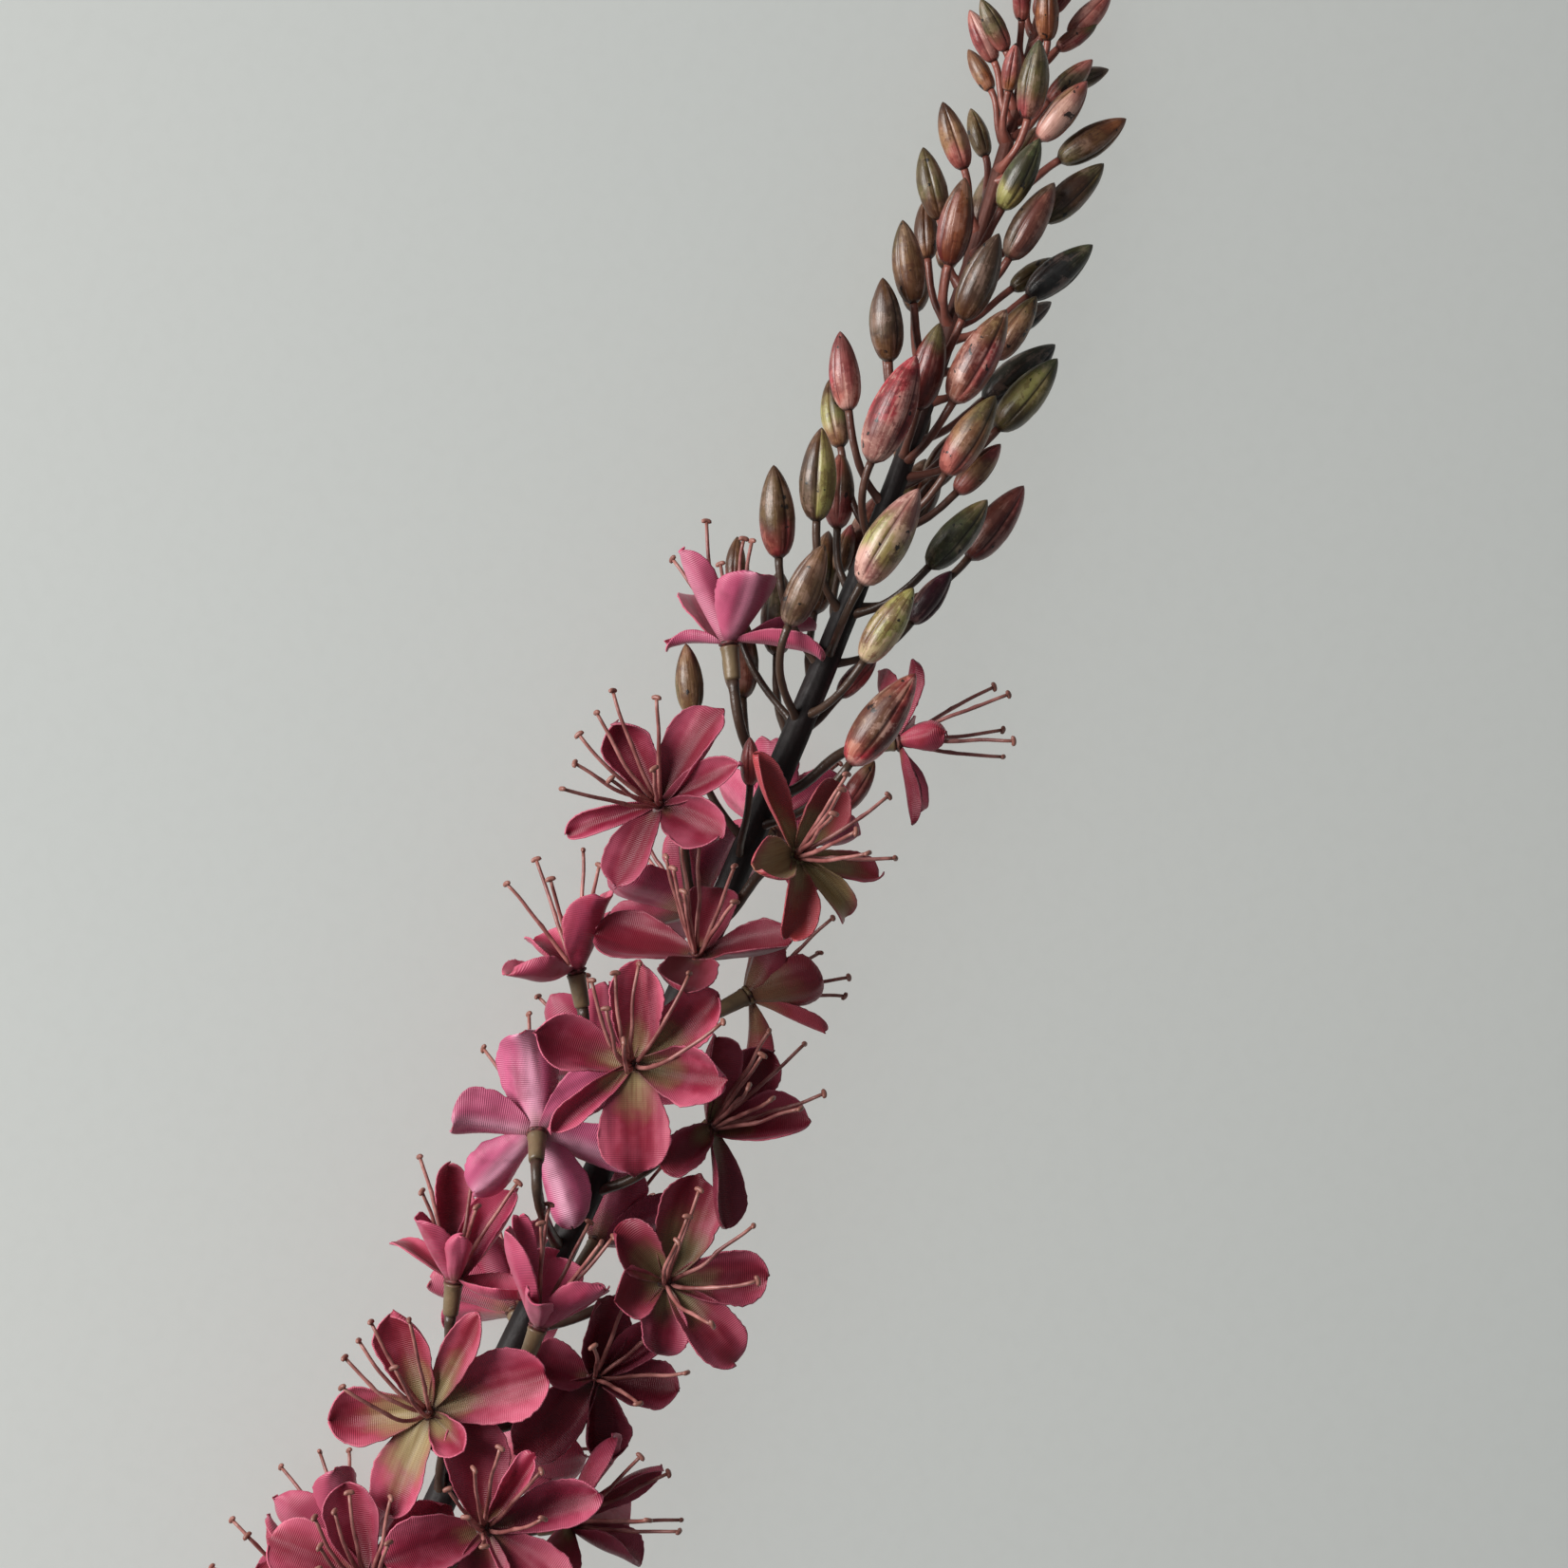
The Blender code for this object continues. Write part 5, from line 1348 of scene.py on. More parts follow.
def add_petal(piece, petal, rng, tones):
    points, us, vs = petal_grid(petal, rng)
    verts, under, upper, rim = sheet_mesh(points, PETAL_STEPS + 1, PETAL_CROSS + 1, SHEET)
    halves = np.array([fine_half(petal, max(u, 0.0)) for u in us])
    share = np.tile(us, 2)
    # The fourth tone, deep, is the bloom's painted shade; each petal takes a step of its own
    green, mauve, warm, deep = tones
    piece.add(
        verts, under + upper + rim, [BACK] * len(under) + [FRONT] * (len(upper) + len(rim)),
        share=share, along=share * petal["length"], side=np.tile(vs * halves, 2),
        edge=np.tile(np.abs(vs), 2), tint=rng.uniform(*TINTS),
        green=green * rng.uniform(*GREEN_SPREAD), mauve=mauve * rng.uniform(*MAUVE_SPREAD),
        warm=warm + rng.uniform(*WARM_SPREAD), deep=deep + rng.uniform(*DEEP_SPREAD),
    )


def add_heart(piece, row, tones):
    """The small cup that joins the petals' roots."""
    verts = lobed(row, bloom_centre(row), HEART_PROFILE, HEART_ROUND, PETALS_PER_BLOOM, HEART_LOBE)
    faces = capped(verts, HEART_ROUND)
    piece.add(verts, faces, HEART, green=tones[0], tint=row["number"], along=0.3)


def fine_bloom(row, petals, looks, shift):
    rng = random.Random(FINE_PETAL_SEED + row["number"])
    tones = BLOOM_TONES.get(row["number"], PLAIN_TONES)
    piece = Piece(*PETAL_VALUES)
    for petal in petals:
        add_petal(piece, petal, rng, tones)
    add_heart(piece, row, tones)
    return piece.make(f"bloom_{row['number']:02d}_cloth", looks, shift)


# Stamens


def wavy(path, rng):
    """The path with a slight bend to and fro, growing from its start."""
    seed = rng.uniform(0, 100)
    moved = []
    for k, (point, (_, (side, other))) in enumerate(zip(path, turned_sides(path))):
        t = k / (len(path) - 1)
        sway = THREAD_SWAY * t * (SWAY_FADE - t)
        aside, over = noise.noise((t * SWAYS, seed, 0)), noise.noise((t * SWAYS, 0, seed))
        moved.append(point + side * sway * aside + other * sway * over)
    return moved


def add_thread(piece, path, rng):
    """A filament with one small nub on it, and its anther."""
    path = wavy(path, rng)
    nub = rng.randrange(4, THREAD_STEPS - 3)

    def radius(i, a):
        swell = NUB if i == nub and math.cos(a) > 0.5 else 0.0
        return between(THREAD_RADII, i / (len(path) - 1)) + swell

    rings = lathed(path, radius, THREAD_ROUND)
    t = np.repeat(np.linspace(0, 1, len(path)), THREAD_ROUND)
    tint = rng.uniform(*TINTS)
    piece.add(rings, capped(rings, THREAD_ROUND), 0, share=t, tint=tint)
    add_anther(piece, path, rng, tint)


def add_anther(piece, path, rng, tint):
    """The small bar across the end of a filament, its two ends drooping a little."""
    ahead, square = turned_sides(path)[-1]
    bar = point_round(Vector(), square, 1.0, rng.uniform(0, math.pi))
    spine, radii = [], []
    for k in range(ANTHER_STEPS):
        x = -1 + 2 * k / (ANTHER_STEPS - 1)
        spine.append(path[-1] + ahead * (ANTHER_LIFT - ANTHER_DROOP * x * x) + bar * ANTHER_HALF * x)
        blunt = math.sqrt(max(0.0, 1 - abs(x) ** 3)) * between((ANTHER_WAIST, 1.0), abs(x))
        radii.append(ANTHER_END + ANTHER_THICK * blunt)
    rings = lathed(spine, lambda i, a: radii[i], ANTHER_ROUND)
    piece.add(rings, capped(rings, ANTHER_ROUND), 0, share=ANTHER_SHARE, tint=tint)


def add_knob(piece, row):
    """The knob that the filaments grow from, darkest at its foot."""
    foot = bloom_centre(row) + bloom_axis(row) * (HUB_HEIGHT + NODE_GAP - KNOB_SUNK)
    verts = lobed(row, foot, KNOB_PROFILE, KNOB_ROUND, FILAMENTS_PER_BLOOM, KNOB_LOBE, turn=1.0)
    share = np.repeat([0.05 * height - 0.2 for _, height in KNOB_PROFILE], KNOB_ROUND)
    piece.add(verts, capped(verts, KNOB_ROUND), 0, share=share, tint=row["number"])


def fine_stamens(row, paths, look, shift):
    rng = random.Random(FINE_STAMEN_SEED + row["number"])
    piece = Piece("share", "tint")
    add_knob(piece, row)
    for path in list(paths.values()) + extra_threads(paths, EXTRA_THREADS.get(row["number"], 0), rng):
        fine = [path_point(path, k / THREAD_STEPS) for k in range(THREAD_STEPS + 1)]
        add_thread(piece, fine, rng)
    return piece.make(f"bloom_{row['number']:02d}_threads", [look], shift)


def extra_threads(paths, most, rng):
    """Paths half way between neighbouring ones, of their own lengths."""
    seats = sorted(paths)
    extra = []
    for first, second in zip(seats, seats[1:]):
        if second - first > 1 or len(extra) == most:
            continue
        start, middle, end = [a.lerp(b, 0.5) for a, b in zip(paths[first], paths[second])]
        usual = 0.5 * sum((path[2] - path[0]).length for path in (paths[first], paths[second]))
        longer = usual / max(1.0, (end - start).length) * rng.uniform(*EXTRA_LENGTHS)
        extra.append([start, start + (middle - start) * longer, start + (end - start) * longer])
    return extra


def path_point(path, t):
    """A point of the smooth curve through the three points that a solid filament follows."""
    start, middle, end = path
    bow = middle * 2 - (start + end) * 0.5
    return above_floor(bezier([start, bow, end], t), THREAD_ROOM)


# Stem, stalks, sleeves and buds


def fine_stem(look, shift):
    stations = [between((STEM_START, STEM_END), k / STEM_STEPS) for k in range(STEM_STEPS + 1)]
    path = [place(station) for station in stations]

    def radius(i, a):
        station = stations[i]
        groove = GROOVE_DEPTH * math.cos(GROOVES * a + GROOVE_TWIST * station)
        spot = (station * BUMPS_ALONG, math.cos(a) * BUMPS_ROUND, math.sin(a) * BUMPS_ROUND)
        cut = CUT_ROUNDING if i == 0 else 0.0
        return along_table(STEM_RADII, station) + groove + BUMP_HEIGHT * noise.noise(spot) - cut

    rings = lathed(path, radius, STEM_ROUND)
    high = np.repeat(stations, STEM_ROUND)
    piece = Piece("along", "high", "tint")
    piece.add(rings, capped(rings, STEM_ROUND), 0, along=high, high=high, tint=3.0)
    return piece.make("stem_fine", [look], shift)


def add_stalk(piece, path, thick, flare, station, rng):
    """A stalk, wider where it leaves the stem and, by its flare, at its end."""
    reach = path_length(path)
    seed = rng.uniform(0, 50)

    def radius(i, a):
        t = i / (len(path) - 1)
        swell = ROOT_FLARE * math.exp(-((t * reach / ROOT_FLARE_LENGTH) ** 2))
        swell += flare * max(0.0, t - END_FLARE_FROM)
        rough = noise.noise((t * reach * STALK_BUMPS, math.cos(a), seed + math.sin(a)))
        return thick * (1 + swell) * (1 + STALK_ROUGHNESS * rough)

    rings = lathed(path, radius, STALK_ROUND)
    along = np.repeat(np.linspace(0, reach, len(path)), STALK_ROUND)
    piece.add(rings, capped(rings, STALK_ROUND), 0, along=along, high=station, tint=seed)


def bud_profile(t, full, base):
    """A bud's radius at the share t of its length, from its stalk to its pointed tip."""
    if t < BUD_WIDEST:
        return between((base, full), math.sin(0.5 * math.pi * (t / BUD_WIDEST) ** BUD_SWELL))
    past = (t - BUD_WIDEST) / (1 - BUD_WIDEST)
    return full * (1 - past**BUD_FULLNESS) ** BUD_POINT + BUD_TIP_RADIUS


def add_bud(piece, row, words, rng):
    """A bud with three seams, fine ridges and dents, painted by its words."""
    foot, direction, _, thick = bud_parts(row, STALK_STEPS)
    length = row[3]
    seed, bend = rng.uniform(0, 100), rng.uniform(*BUD_BENDS)
    seams = [seed + 2 * math.pi * k / SEAMS for k in range(SEAMS)]
    shares = [1 - (1 - k / BUD_STEPS) ** BUD_CROWDING for k in range(BUD_STEPS + 1)]
    ahead, aside = direction * length * BUD_LONGER, across(direction)[0] * length * bend
    path = [foot + ahead * t + aside * t * t for t in shares]
    verts, values = [], []
    for t, point, (_, square) in zip(shares, path, turned_sides(path)):
        base = bud_profile(t, length * BUD_GIRTH * BUD_SLIMMER, thick * BUD_FOOT_WIDER)
        hold = min(1.0, RELIEF_FROM_FOOT * t) * min(1.0, RELIEF_TO_TIP * (1 - t) + RELIEF_AT_TIP)
        for a in seam_angles(seams):
            near = min(abs(math.atan2(math.sin(a - s), math.cos(a - s))) for s in seams)
            groove = math.exp(-((near / SEAM_WIDTH) ** 2))
            relief = LOBE_HEIGHT * math.cos(0.5 * SEAMS * near - LOBE_TURN) - SEAM_DEPTH * groove
            relief += RIDGE_HEIGHT * math.cos(RIDGES * a)
            spot = (t * DENTS_ALONG, 2 * math.cos(a), seed + 2 * math.sin(a))
            relief += DENT_DEPTH * noise.noise(spot)
            verts.append(above_floor(point_round(point, square, base * (1 + hold * relief), a), FLOOR_ROOM))
            values.append((t, a, groove * hold))
    share, around, seam = np.array(values).T
    red, grn, blu = bud_paint(share, around, words, seams[0], seed).T
    piece.add(
        verts, capped(verts, BUD_ROUND), 0, share=share, seam=seam, tint=seed, around=np.cos(around),
        across=np.sin(around), red=red, grn=grn, blu=blu, marks=mark_strength(words),
    )


def mark_strength(words):
    """How strongly a bud is blotched: its sixth word, or a mild blotching."""
    names = words.split()
    return float(names[5]) if len(names) > 5 else MILD_MARKS


def seam_angles(seams):
    """Angles round a bud, closer together near its seams."""
    ends = (SEAM_OFFSETS[-1], 2 * math.pi / SEAMS + SEAM_OFFSETS[0])
    left = BUD_ROUND // SEAMS - len(SEAM_OFFSETS)
    angles = []
    for seam in seams:
        angles += [seam + offset for offset in SEAM_OFFSETS]
        angles += [seam + between(ends, (k + 1) / (left + 1)) for k in range(left)]
    return angles


def bud_paint(share, around, words, patch_at, seed):
    """Linear colours of a bud's points: foot, middle and tip run into each other, with one patch."""
    names = words.split()
    foot, middle, tip, patch = [np.array(BUD_DEPTH) * np.array(TONES[name]) for name in names[:4]]
    spots = [(3 * s, 1.5 * math.cos(a), seed + 1.5 * math.sin(a)) for s, a in zip(share, around)]
    wander = np.array([noise.noise(spot) for spot in spots])
    height = share + PAINT_WANDER * wander
    colour = between((foot, middle), eased(height, *FOOT_ENDS)[:, None])
    colour = between((colour, tip), eased(height, *TIP_BEGINS)[:, None])
    facing = np.cos(around - patch_at - PATCH_TURN) + PATCH_WANDER * wander
    facing -= PATCH_SHORTNESS * (share - PATCH_MIDDLE) ** 2
    return between((colour, patch), eased(facing, *PATCH_EDGE)[:, None] * float(names[4]))


def add_sleeve(piece, foot, top, rng):
    """The sleeve that takes a bloom, with its step down to the stalk and a small lip."""
    path = [foot.lerp(top, share) for share, _ in SLEEVE_PROFILE]
    seed = rng.uniform(0, 60)

    def radius(i, a):
        rough = noise.noise((i * 0.7, math.cos(a) * 2, seed))
        return SLEEVE_PROFILE[i][1] * (1 + SLEEVE_ROUGHNESS * rough)

    rings = lathed(path, radius, SLEEVE_ROUND)
    share = np.repeat([s for s, _ in SLEEVE_PROFILE], SLEEVE_ROUND)
    piece.add(rings, capped(rings, SLEEVE_ROUND), 0, share=share)


def fine_stalks_and_buds(looks, shift):
    rng = random.Random(STALK_SEED)
    stalks, sleeves = Piece("along", "high", "tint"), Piece("share")
    buds = Piece("share", "seam", "tint", "around", "across", "red", "grn", "blu", "marks")
    words = list(BUD_TONES) + [UNDER_TONES] * UNDER_BUDS + [TIP_TONES] * TIP_BUDS
    for row, tones in zip(bud_rows(), words):
        _, _, path, thick = bud_parts(row, STALK_STEPS)
        add_stalk(stalks, path, thick, BUD_STALK_FLARE, row[0], rng)
        add_bud(buds, row, tones, rng)
    for row in bloom_rows():
        path, foot, top = bloom_stalk(row, STALK_STEPS)
        add_stalk(stalks, path, BLOOM_STALK_RADIUS, BLOOM_STALK_FLARE, row["station"], rng)
        add_sleeve(sleeves, foot, top, rng)
    return [
        stalks.make("stalks_fine", [looks["stalk"]], shift),
        buds.make("buds_fine", [looks["bud"]], shift),
        sleeves.make("sleeves_fine", [looks["sleeve"]], shift),
    ]


# Materials


class Look:
    """A material on the Principled shader, and short calls that add nodes to it."""

    def __init__(self, name, **plain):
        self.material = bpy.data.materials.new(name)
        self.material.use_nodes = True
        self.tree = self.material.node_tree
        self.shader = self.tree.nodes["Principled BSDF"]
        for socket, value in plain.items():
            self.shader.inputs[socket.replace("_", " ")].default_value = value

    def put(self, value, socket):
        if isinstance(value, (int, float)):
            socket.default_value = value
        elif isinstance(value, (tuple, list)):
            socket.default_value = tuple(value) + (1.0,) * (len(socket.default_value) - len(value))
        else:
            self.tree.links.new(value, socket)

    def value(self, name):
        node = self.tree.nodes.new("ShaderNodeAttribute")
        node.attribute_name = name
        return node.outputs["Fac"]

    def sum(self, operation, a, b=0.0, c=0.0):
        node = self.tree.nodes.new("ShaderNodeMath")
        node.operation = operation
        for value, socket in zip((a, b, c), node.inputs):
            self.put(value, socket)
        return node.outputs[0]

    def times(self, a, b):
        return self.sum("MULTIPLY", a, b)

    def line(self, value, slope, start):
        """The value times a slope, plus a start."""
        return self.sum("MULTIPLY_ADD", value, slope, start)

    def vector(self, x, y, z):
        node = self.tree.nodes.new("ShaderNodeCombineXYZ")
        for value, socket in zip((x, y, z), node.inputs):
            self.put(value, socket)
        return node.outputs[0]

    def place(self):
        node = self.tree.nodes.new("ShaderNodeTexCoord")
        return node.outputs["Object"]

    def noise(self, vector, scale=1.0, detail=2.0, rough=0.5):
        node = self.tree.nodes.new("ShaderNodeTexNoise")
        self.put(vector, node.inputs["Vector"])
        node.inputs["Scale"].default_value = scale
        node.inputs["Detail"].default_value = detail
        node.inputs["Roughness"].default_value = rough
        return node.outputs["Fac"]

    def eased(self, value, low, high, to_low=0.0, to_high=1.0):
        node = self.tree.nodes.new("ShaderNodeMapRange")
        node.interpolation_type = "SMOOTHSTEP"
        for given, name in ((value, "Value"), (low, "From Min"), (high, "From Max")):
            self.put(given, node.inputs[name])
        self.put(to_low, node.inputs["To Min"])
        self.put(to_high, node.inputs["To Max"])
        return node.outputs[0]

    def mix(self, factor, a, b, how="MIX"):
        node = self.tree.nodes.new("ShaderNodeMix")
        node.data_type = "RGBA"
        node.blend_type = how
        self.put(factor, node.inputs[0])
        self.put(a, node.inputs[6])
        self.put(b, node.inputs[7])
        return node.outputs[2]

    def colour(self, red, green, blue):
        node = self.tree.nodes.new("ShaderNodeCombineColor")
        for value, socket in zip((red, green, blue), node.inputs):
            self.put(value, socket)
        return node.outputs[0]

    def layered(self, base, *layers):
        """The base colour with others laid over it in turn.

        Each layer has the value that it follows, where on that value it starts and ends, how
        strong it is at either place, and its colour.
        """
        for value, start, end, at_start, at_end, colour in layers:
            base = self.mix(self.eased(value, start, end, at_start, at_end), base, colour)
        return base

    def finish(self, base, rough, height, deep):
        """Links colour and roughness, and a bump that is deep metres deep."""
        self.put(base, self.shader.inputs["Base Color"])
        self.put(rough, self.shader.inputs["Roughness"])
        bump = self.tree.nodes.new("ShaderNodeBump")
        bump.inputs["Strength"].default_value = 1.0
        bump.inputs["Distance"].default_value = deep
        self.put(height, bump.inputs["Height"])
        self.tree.links.new(bump.outputs[0], self.shader.inputs["Normal"])
        return self.material


def weave(look, along, side):
    """Ribs across the cloth and finer threads along it, each from 0 to 1."""
    ribs = look.sum("SINE", look.times(along, 2 * math.pi / RIB))
    threads = look.sum("SINE", look.times(side, 2 * math.pi / THREAD))
    return look.line(ribs, 0.5, 0.5), look.line(threads, 0.5, 0.5)


def front_colour(look, streaks, clouds, edge, share):
    """Rose, darker in streaks and paler in clouds.

    Darker along the middle and towards the root, partly the cloth's own deeper tone and partly
    painted shade; paler along the rim, partly its own paler tone and partly painted highlight.
    """
    return look.layered(
        ROSE_DEEP,
        (streaks, 0.38, 0.58, 0.9, 1.0, ROSE),
        (clouds, 0.42, 0.75, 0.0, 0.34, ROSE_PALE),
        # Paler along the rim: partly the cloth's own paler tone, partly painted highlight
        (look.line(clouds, 0.5, edge), 0.5, 1.3, 0.0, 0.74, ROSE_PALE),
        # Darker along the middle and towards the root: partly the cloth's own deeper tone, partly painted
        # shade
        (edge, 0.05, 0.75, 0.5, 0.0, ROSE_DEEP),
        (share, 0.05, 0.75, 0.68, 0.0, ROSE_DEEP),
    )


def back_colour(look, clouds, edge, side):
    """Rose with a pale rim or, by the bloom's own value, mauve with a pale middle rib.

    The pale rim and the pale rib are partly the cloth's own paler tone and partly painted highlight.
    """
    rose = look.layered(
        ROSE,
        (clouds, 0.35, 0.7, 0.0, 1.0, ROSE_HOT),
        # Pale rim: partly the cloth's own paler tone, partly painted highlight
        (edge, 0.4, 1.0, 0.0, 0.4, ROSE_PALE),
    )
    # Pale middle rib: partly the mauve's own paler tone, partly painted highlight
    mauve = look.layered(MAUVE, (look.sum("ABSOLUTE", side), 0.2, 3.4, 0.9, 0.1, MAUVE_PALE))
    return look.layered(
        rose,
        (look.value("mauve"), 0.1, 0.9, 0.0, 1.0, mauve),
        (clouds, 0.45, 0.75, 0.0, 0.35, ROSE_DEEP),
    )


def cloth_look(name, front):
    look = Look(name, **CLOTH_GLOSS)
    along, side, share = look.value("along"), look.value("side"), look.value("share")
    edge, tint, deep = look.value("edge"), look.value("tint"), look.value("deep")

    def cloth_noise(wide, long, **settings):
        place = look.vector(look.times(side, wide), look.times(along, long), tint)
        return look.noise(place, **settings)

    streaks = cloth_noise(wide=1.5, long=0.07, scale=1.6, detail=3.0)
    clouds = cloth_noise(wide=0.22, long=0.2)
    folds = cloth_noise(wide=0.42, long=0.08, detail=0.0)
    ribs, threads = weave(look, along, side)
    if front:
        base = front_colour(look, streaks, clouds, edge, share)
    else:
        base = back_colour(look, clouds, edge, side)
    base = look.mix(look.value("warm"), base, ORANGE)
    # Painted shade: deep darkens the cloth towards deep rose, and on the front a deep below zero is painted
    # light of hot rose
    depth = look.eased(deep, 0.0, 1.0, 0.0, 0.85)
    base = look.mix(depth, base, ROSE_DEEP)
    if front:
        base = look.layered(base, (deep, -0.4, 0.05, 0.6, 0.0, ROSE_HOT))

    reach = look.line(look.times(edge, edge), 0.35, look.line(clouds, 0.5, share))
    ends = [look.line(look.value("green"), 0.9, start) for start in (-0.14, 0.44)]
    heart = look.times(look.eased(reach, *ends, 1.0, 0.0), 0.85 if front else 0.75)
    olive = look.layered(OLIVE_DARK, (streaks, 0.2, 0.8, 0.3, 1.0, OLIVE_HEART))
    if not front:
        olive = look.mix(0.3, olive, OLIVE_BACK)
    # The olive middle darkens by the same painted shade
    base = look.mix(heart, base, look.mix(depth, olive, HEART_SHADE))
    frays = look.times(edge, look.eased(streaks, 0.35, 0.6, 0.9, 1.0))
    # Painted shade in the throat near each petal's root, then the paler frayed rim
    base = look.layered(
        base,
        (share, -0.02, 0.16, 0.6, 0.0, PAINTED_THROAT_SHADE),
        (frays, 0.93, 0.99, 0.0, 0.12, FRAY),
    )
    shade = look.times(look.line(ribs, 0.14, 0.88), look.line(threads, 0.06, 0.97))
    base = look.mix(1.0, base, look.colour(shade, shade, shade), "MULTIPLY")
    height = look.line(streaks, 0.06, look.line(ribs, 0.3, look.times(threads, 0.05)))
    return look.finish(base, look.line(streaks, 0.12, 0.36), look.line(folds, 3.0, height), deep=0.0002)


def heart_look():
    look = Look("petal_heart", Specular_IOR_Level=0.4)
    grain = look.noise(look.place(), scale=900.0, detail=3.0)
    middle = look.mix(look.value("green"), HEART_ROSY, HEART_OLIVE)
    base = look.layered(HEART_DARK, (grain, 0.35, 0.7, 0.0, 1.0, middle))
    return look.finish(base, look.line(grain, 0.3, 0.35), grain, deep=0.0002)


def thread_look():
    look = Look("stamen_plastic", Specular_IOR_Level=0.5)
    share = look.value("share")
    grain = look.noise(look.place(), scale=420.0, detail=3.0)
    place = look.vector(look.times(share, 3.0), look.value("tint"), 0.0)
    patches = look.noise(place, scale=1.2)
    base = look.layered(
        STAMEN_DARK,
        (patches, 0.3, 0.7, 0.0, 1.0, STAMEN_PALE),
        (share, 0.75, 1.1, 0.0, 0.6, STAMEN_TIP),
        (share, -0.1, 0.05, 0.85, 0.0, STAMEN_FOOT),
        (grain, 0.5, 0.75, 0.0, 0.35, STAMEN_SPECK),
    )
    return look.finish(base, look.line(grain, 0.3, 0.26), grain, deep=0.00025)


def stem_look(name):
    low, top, (start, end), gloss, rough = STEM_LOOKS[name]
    look = Look(name, Specular_IOR_Level=gloss)
    grain = look.noise(look.place(), scale=260.0, detail=4.0)
    place = look.vector(look.times(look.value("along"), 0.12), look.value("tint"), 0.0)
    streaks = look.noise(place, detail=3.0)
    base = look.layered(
        look.mix(streaks, *low),
        (look.value("high"), start, end, 0.0, 1.0, look.mix(streaks, *top)),
        (grain, 0.5, 0.72, 0.0, 0.4, STEM_SPECK),
    )
    return look.finish(base, look.line(grain, 0.35, rough), grain, deep=0.0004)


def sleeve_look():
    look = Look("sleeve_plastic", Specular_IOR_Level=0.5)
    share = look.value("share")
    grain = look.noise(look.place(), scale=300.0, detail=3.0)
    base = look.layered(
        look.mix(look.noise(look.place(), scale=90.0, detail=2.0), SLEEVE_DARK, SLEEVE_PALE),
        (share, 0.9, 1.0, 0.0, 0.45, SLEEVE_LIP),
        (share, 0.0, 0.12, 0.6, 0.0, SLEEVE_FOOT),
        (grain, 0.55, 0.75, 0.0, 0.35, SLEEVE_SPECK),
    )
    return look.finish(base, look.line(grain, 0.25, 0.28), grain, deep=0.0003)


def bud_look():
    look = Look("bud_plastic", Specular_IOR_Level=0.5, Coat_Weight=0.1, Coat_Roughness=0.24)
    share, marks = look.value("share"), look.value("marks")
    painted = look.colour(look.value("red"), look.value("grn"), look.value("blu"))
    round_it = [look.times(look.value(name), 3.2) for name in ("around", "across")]
    place = look.vector(*round_it, look.line(share, 1.5, look.value("tint")))
    lines = look.noise(place, scale=1.2, detail=4.0, rough=0.6)
    spots = look.noise(look.place(), scale=330.0, detail=3.0)
    mottle = look.noise(look.place(), scale=170.0, detail=5.0, rough=0.7)
    stains = look.noise(look.place(), scale=95.0, detail=4.0, rough=0.6)
    dark = look.mix(look.line(marks, 0.35, 0.65), painted, BUD_BLOTCH_AND_SHADE, "MULTIPLY")
    pale = look.mix(look.times(marks, 0.75), painted, BUD_PALE_MARK)
    base = look.layered(
        painted,
        (stains, 0.5, 0.57, 0.0, 0.6, dark),
        (stains, 0.38, 0.46, 0.5, 0.0, pale),
        (lines, 0.52, 0.6, 0.0, 0.55, dark),
        (lines, 0.36, 0.45, 0.4, 0.0, pale),
        (mottle, 0.51, 0.56, 0.0, 0.65, dark),
        (mottle, 0.38, 0.45, 0.45, 0.0, pale),
        # Painted shade in the seam grooves
        (look.value("seam"), 0.35, 0.9, 0.0, 0.8, dark),
        (share, 0.0, 0.06, 0.75, 0.0, BUD_FOOT),
        (share, 0.94, 1.0, 0.0, 0.6, dark),
        (spots, 0.67, 0.69, 0.0, 0.92, BUD_SPECK),
    )
    return look.finish(base, look.line(lines, 0.22, 0.25), look.line(spots, 0.6, lines), deep=0.0002)


def floor_look():
    look = Look("paper_floor", Specular_IOR_Level=0.15)
    fine = look.noise(look.place(), scale=240.0, detail=3.0)
    paper = look.mix(look.noise(look.place(), scale=3.0, detail=2.0), PAPER_COOL, PAPER_WARM)
    base = look.layered(paper, (fine, 0.4, 0.7, 0.0, 0.05, PAPER_GRAIN))
    return look.finish(base, look.line(fine, 0.1, 0.82), fine, deep=0.00002)


# Stage


def add_floor():
    line = np.linspace(-0.5 * FLOOR_SIZE, 0.5 * FLOOR_SIZE, FLOOR_CELLS + 1)
    verts = [(x, y, 0.0) for y in line for x in line]
    mesh = bpy.data.meshes.new("floor")
    mesh.from_pydata(verts, [], grid_faces(FLOOR_CELLS + 1, FLOOR_CELLS + 1))
    mesh.materials.append(floor_look())
    floor = bpy.data.objects.new("floor", mesh)
    bpy.context.scene.collection.objects.link(floor)
    return floor


def looking(place_at, right, up):
    """The matrix of a camera or lamp at a place, with these image directions."""
    right, up = Vector(right).normalized(), Vector(up)
    up = (up - right * up.dot(right)).normalized()
    matrix = Matrix((right, up, right.cross(up))).transposed().to_4x4()
    matrix.translation = place_at
    return matrix


def add_camera(shift):
    data = bpy.data.cameras.new("camera")
    data.sensor_width = SENSOR
    data.lens = SENSOR * CAMERA_HEIGHT / (PICTURE * PIXEL * MM)
    data.clip_start, data.clip_end = 0.01, 50.0
    camera = bpy.data.objects.new("camera", data)
    aim = (Vector(AIM) + shift) * MM
    camera.matrix_world = looking(aim + Vector((0, 0, CAMERA_HEIGHT)), LEFT_TO_RIGHT, BOTTOM_TO_TOP)
    bpy.context.scene.collection.objects.link(camera)
    bpy.context.scene.camera = camera


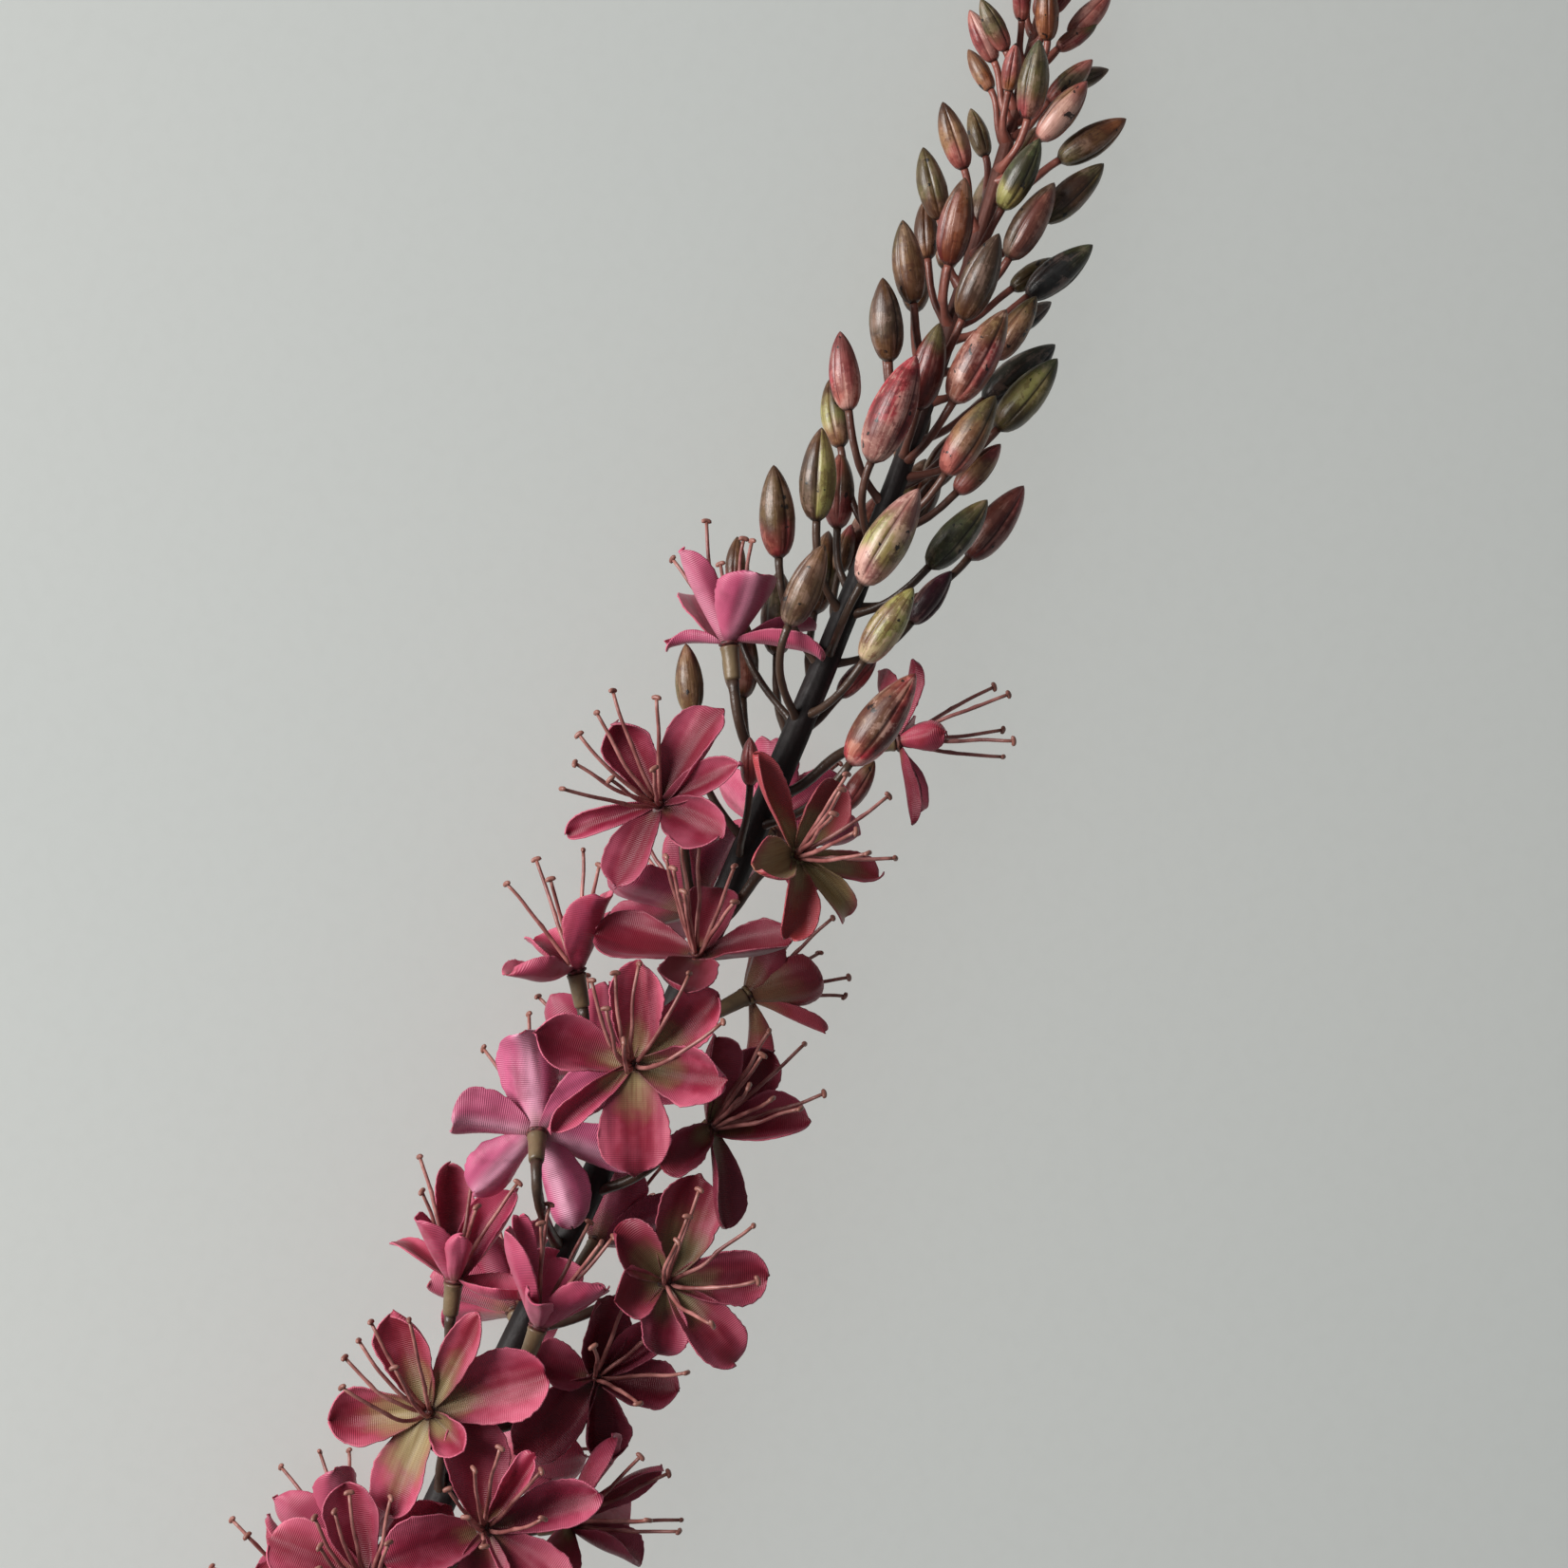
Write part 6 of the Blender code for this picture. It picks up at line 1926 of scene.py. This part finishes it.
def add_lamp(name, lamp_row, lit, shading=None):
    """A square lamp that faces the middle of the spike, placed by the picture's own directions.

    It lights the collection lit, and only the collection shading casts shadows from it.
    """
    from_left, from_top, height, size, power = lamp_row
    data = bpy.data.lights.new(name, "AREA")
    data.size, data.energy, data.color = size, power, LAMP_COLOUR
    lamp = bpy.data.objects.new(name, data)
    at = Vector(BOTTOM_TO_TOP) * from_top - Vector(LEFT_TO_RIGHT) * from_left + Vector((0, 0, height))
    back = at.normalized()
    side = Vector((0, 0, 1)).cross(back).normalized()
    lamp.matrix_world = looking(at, side, back.cross(side))
    lamp.light_linking.receiver_collection = lit
    lamp.light_linking.blocker_collection = shading
    bpy.context.scene.collection.objects.link(lamp)


def gathered(name, objects):
    group = bpy.data.collections.new(name)
    for obj in objects:
        group.objects.link(obj)
    return group


def add_light(flower, floor):
    lit_flower, lit_floor = gathered("lit_flower", flower), gathered("lit_floor", [floor])
    add_lamp("key", KEY, lit_flower)
    add_lamp("floor_key", FLOOR_KEY, lit_floor, lit_floor)
    world = bpy.data.worlds.new("studio")
    world.use_nodes = True
    shade = world.node_tree.nodes["Background"]
    shade.inputs["Color"].default_value = SKY_COLOUR
    shade.inputs["Strength"].default_value = SKY
    bpy.context.scene.world = world
    bpy.context.scene.view_settings.view_transform = "Standard"


def main():
    spike = layout()
    shift = centring_shift(spike)
    cloth = [cloth_look("petal_cloth", True), cloth_look("petal_back", False), heart_look()]
    threads = thread_look()
    flower = []
    for row, petals, paths in zip(spike["rows"], spike["petals"], spike["filaments"]):
        label = f"bloom_{row['number']:02d}"
        bloom = fine_bloom(row, petals, cloth, shift)
        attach(bloom, "root")
        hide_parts(label + "_petals")
        stamens = fine_stamens(row, paths, threads, shift)
        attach(stamens, "root")
        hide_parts(label + "_stamens")
        flower += [bloom, stamens]
    looks = {"stalk": stem_look("stalk_plastic"), "bud": bud_look(), "sleeve": sleeve_look()}
    woody = [fine_stem(stem_look("stem_plastic"), shift)] + fine_stalks_and_buds(looks, shift)
    for piece in woody:
        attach(piece, "root")
        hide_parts("stem_and_buds")
    add_camera(shift)
    add_light(flower + woody, add_floor())


main()
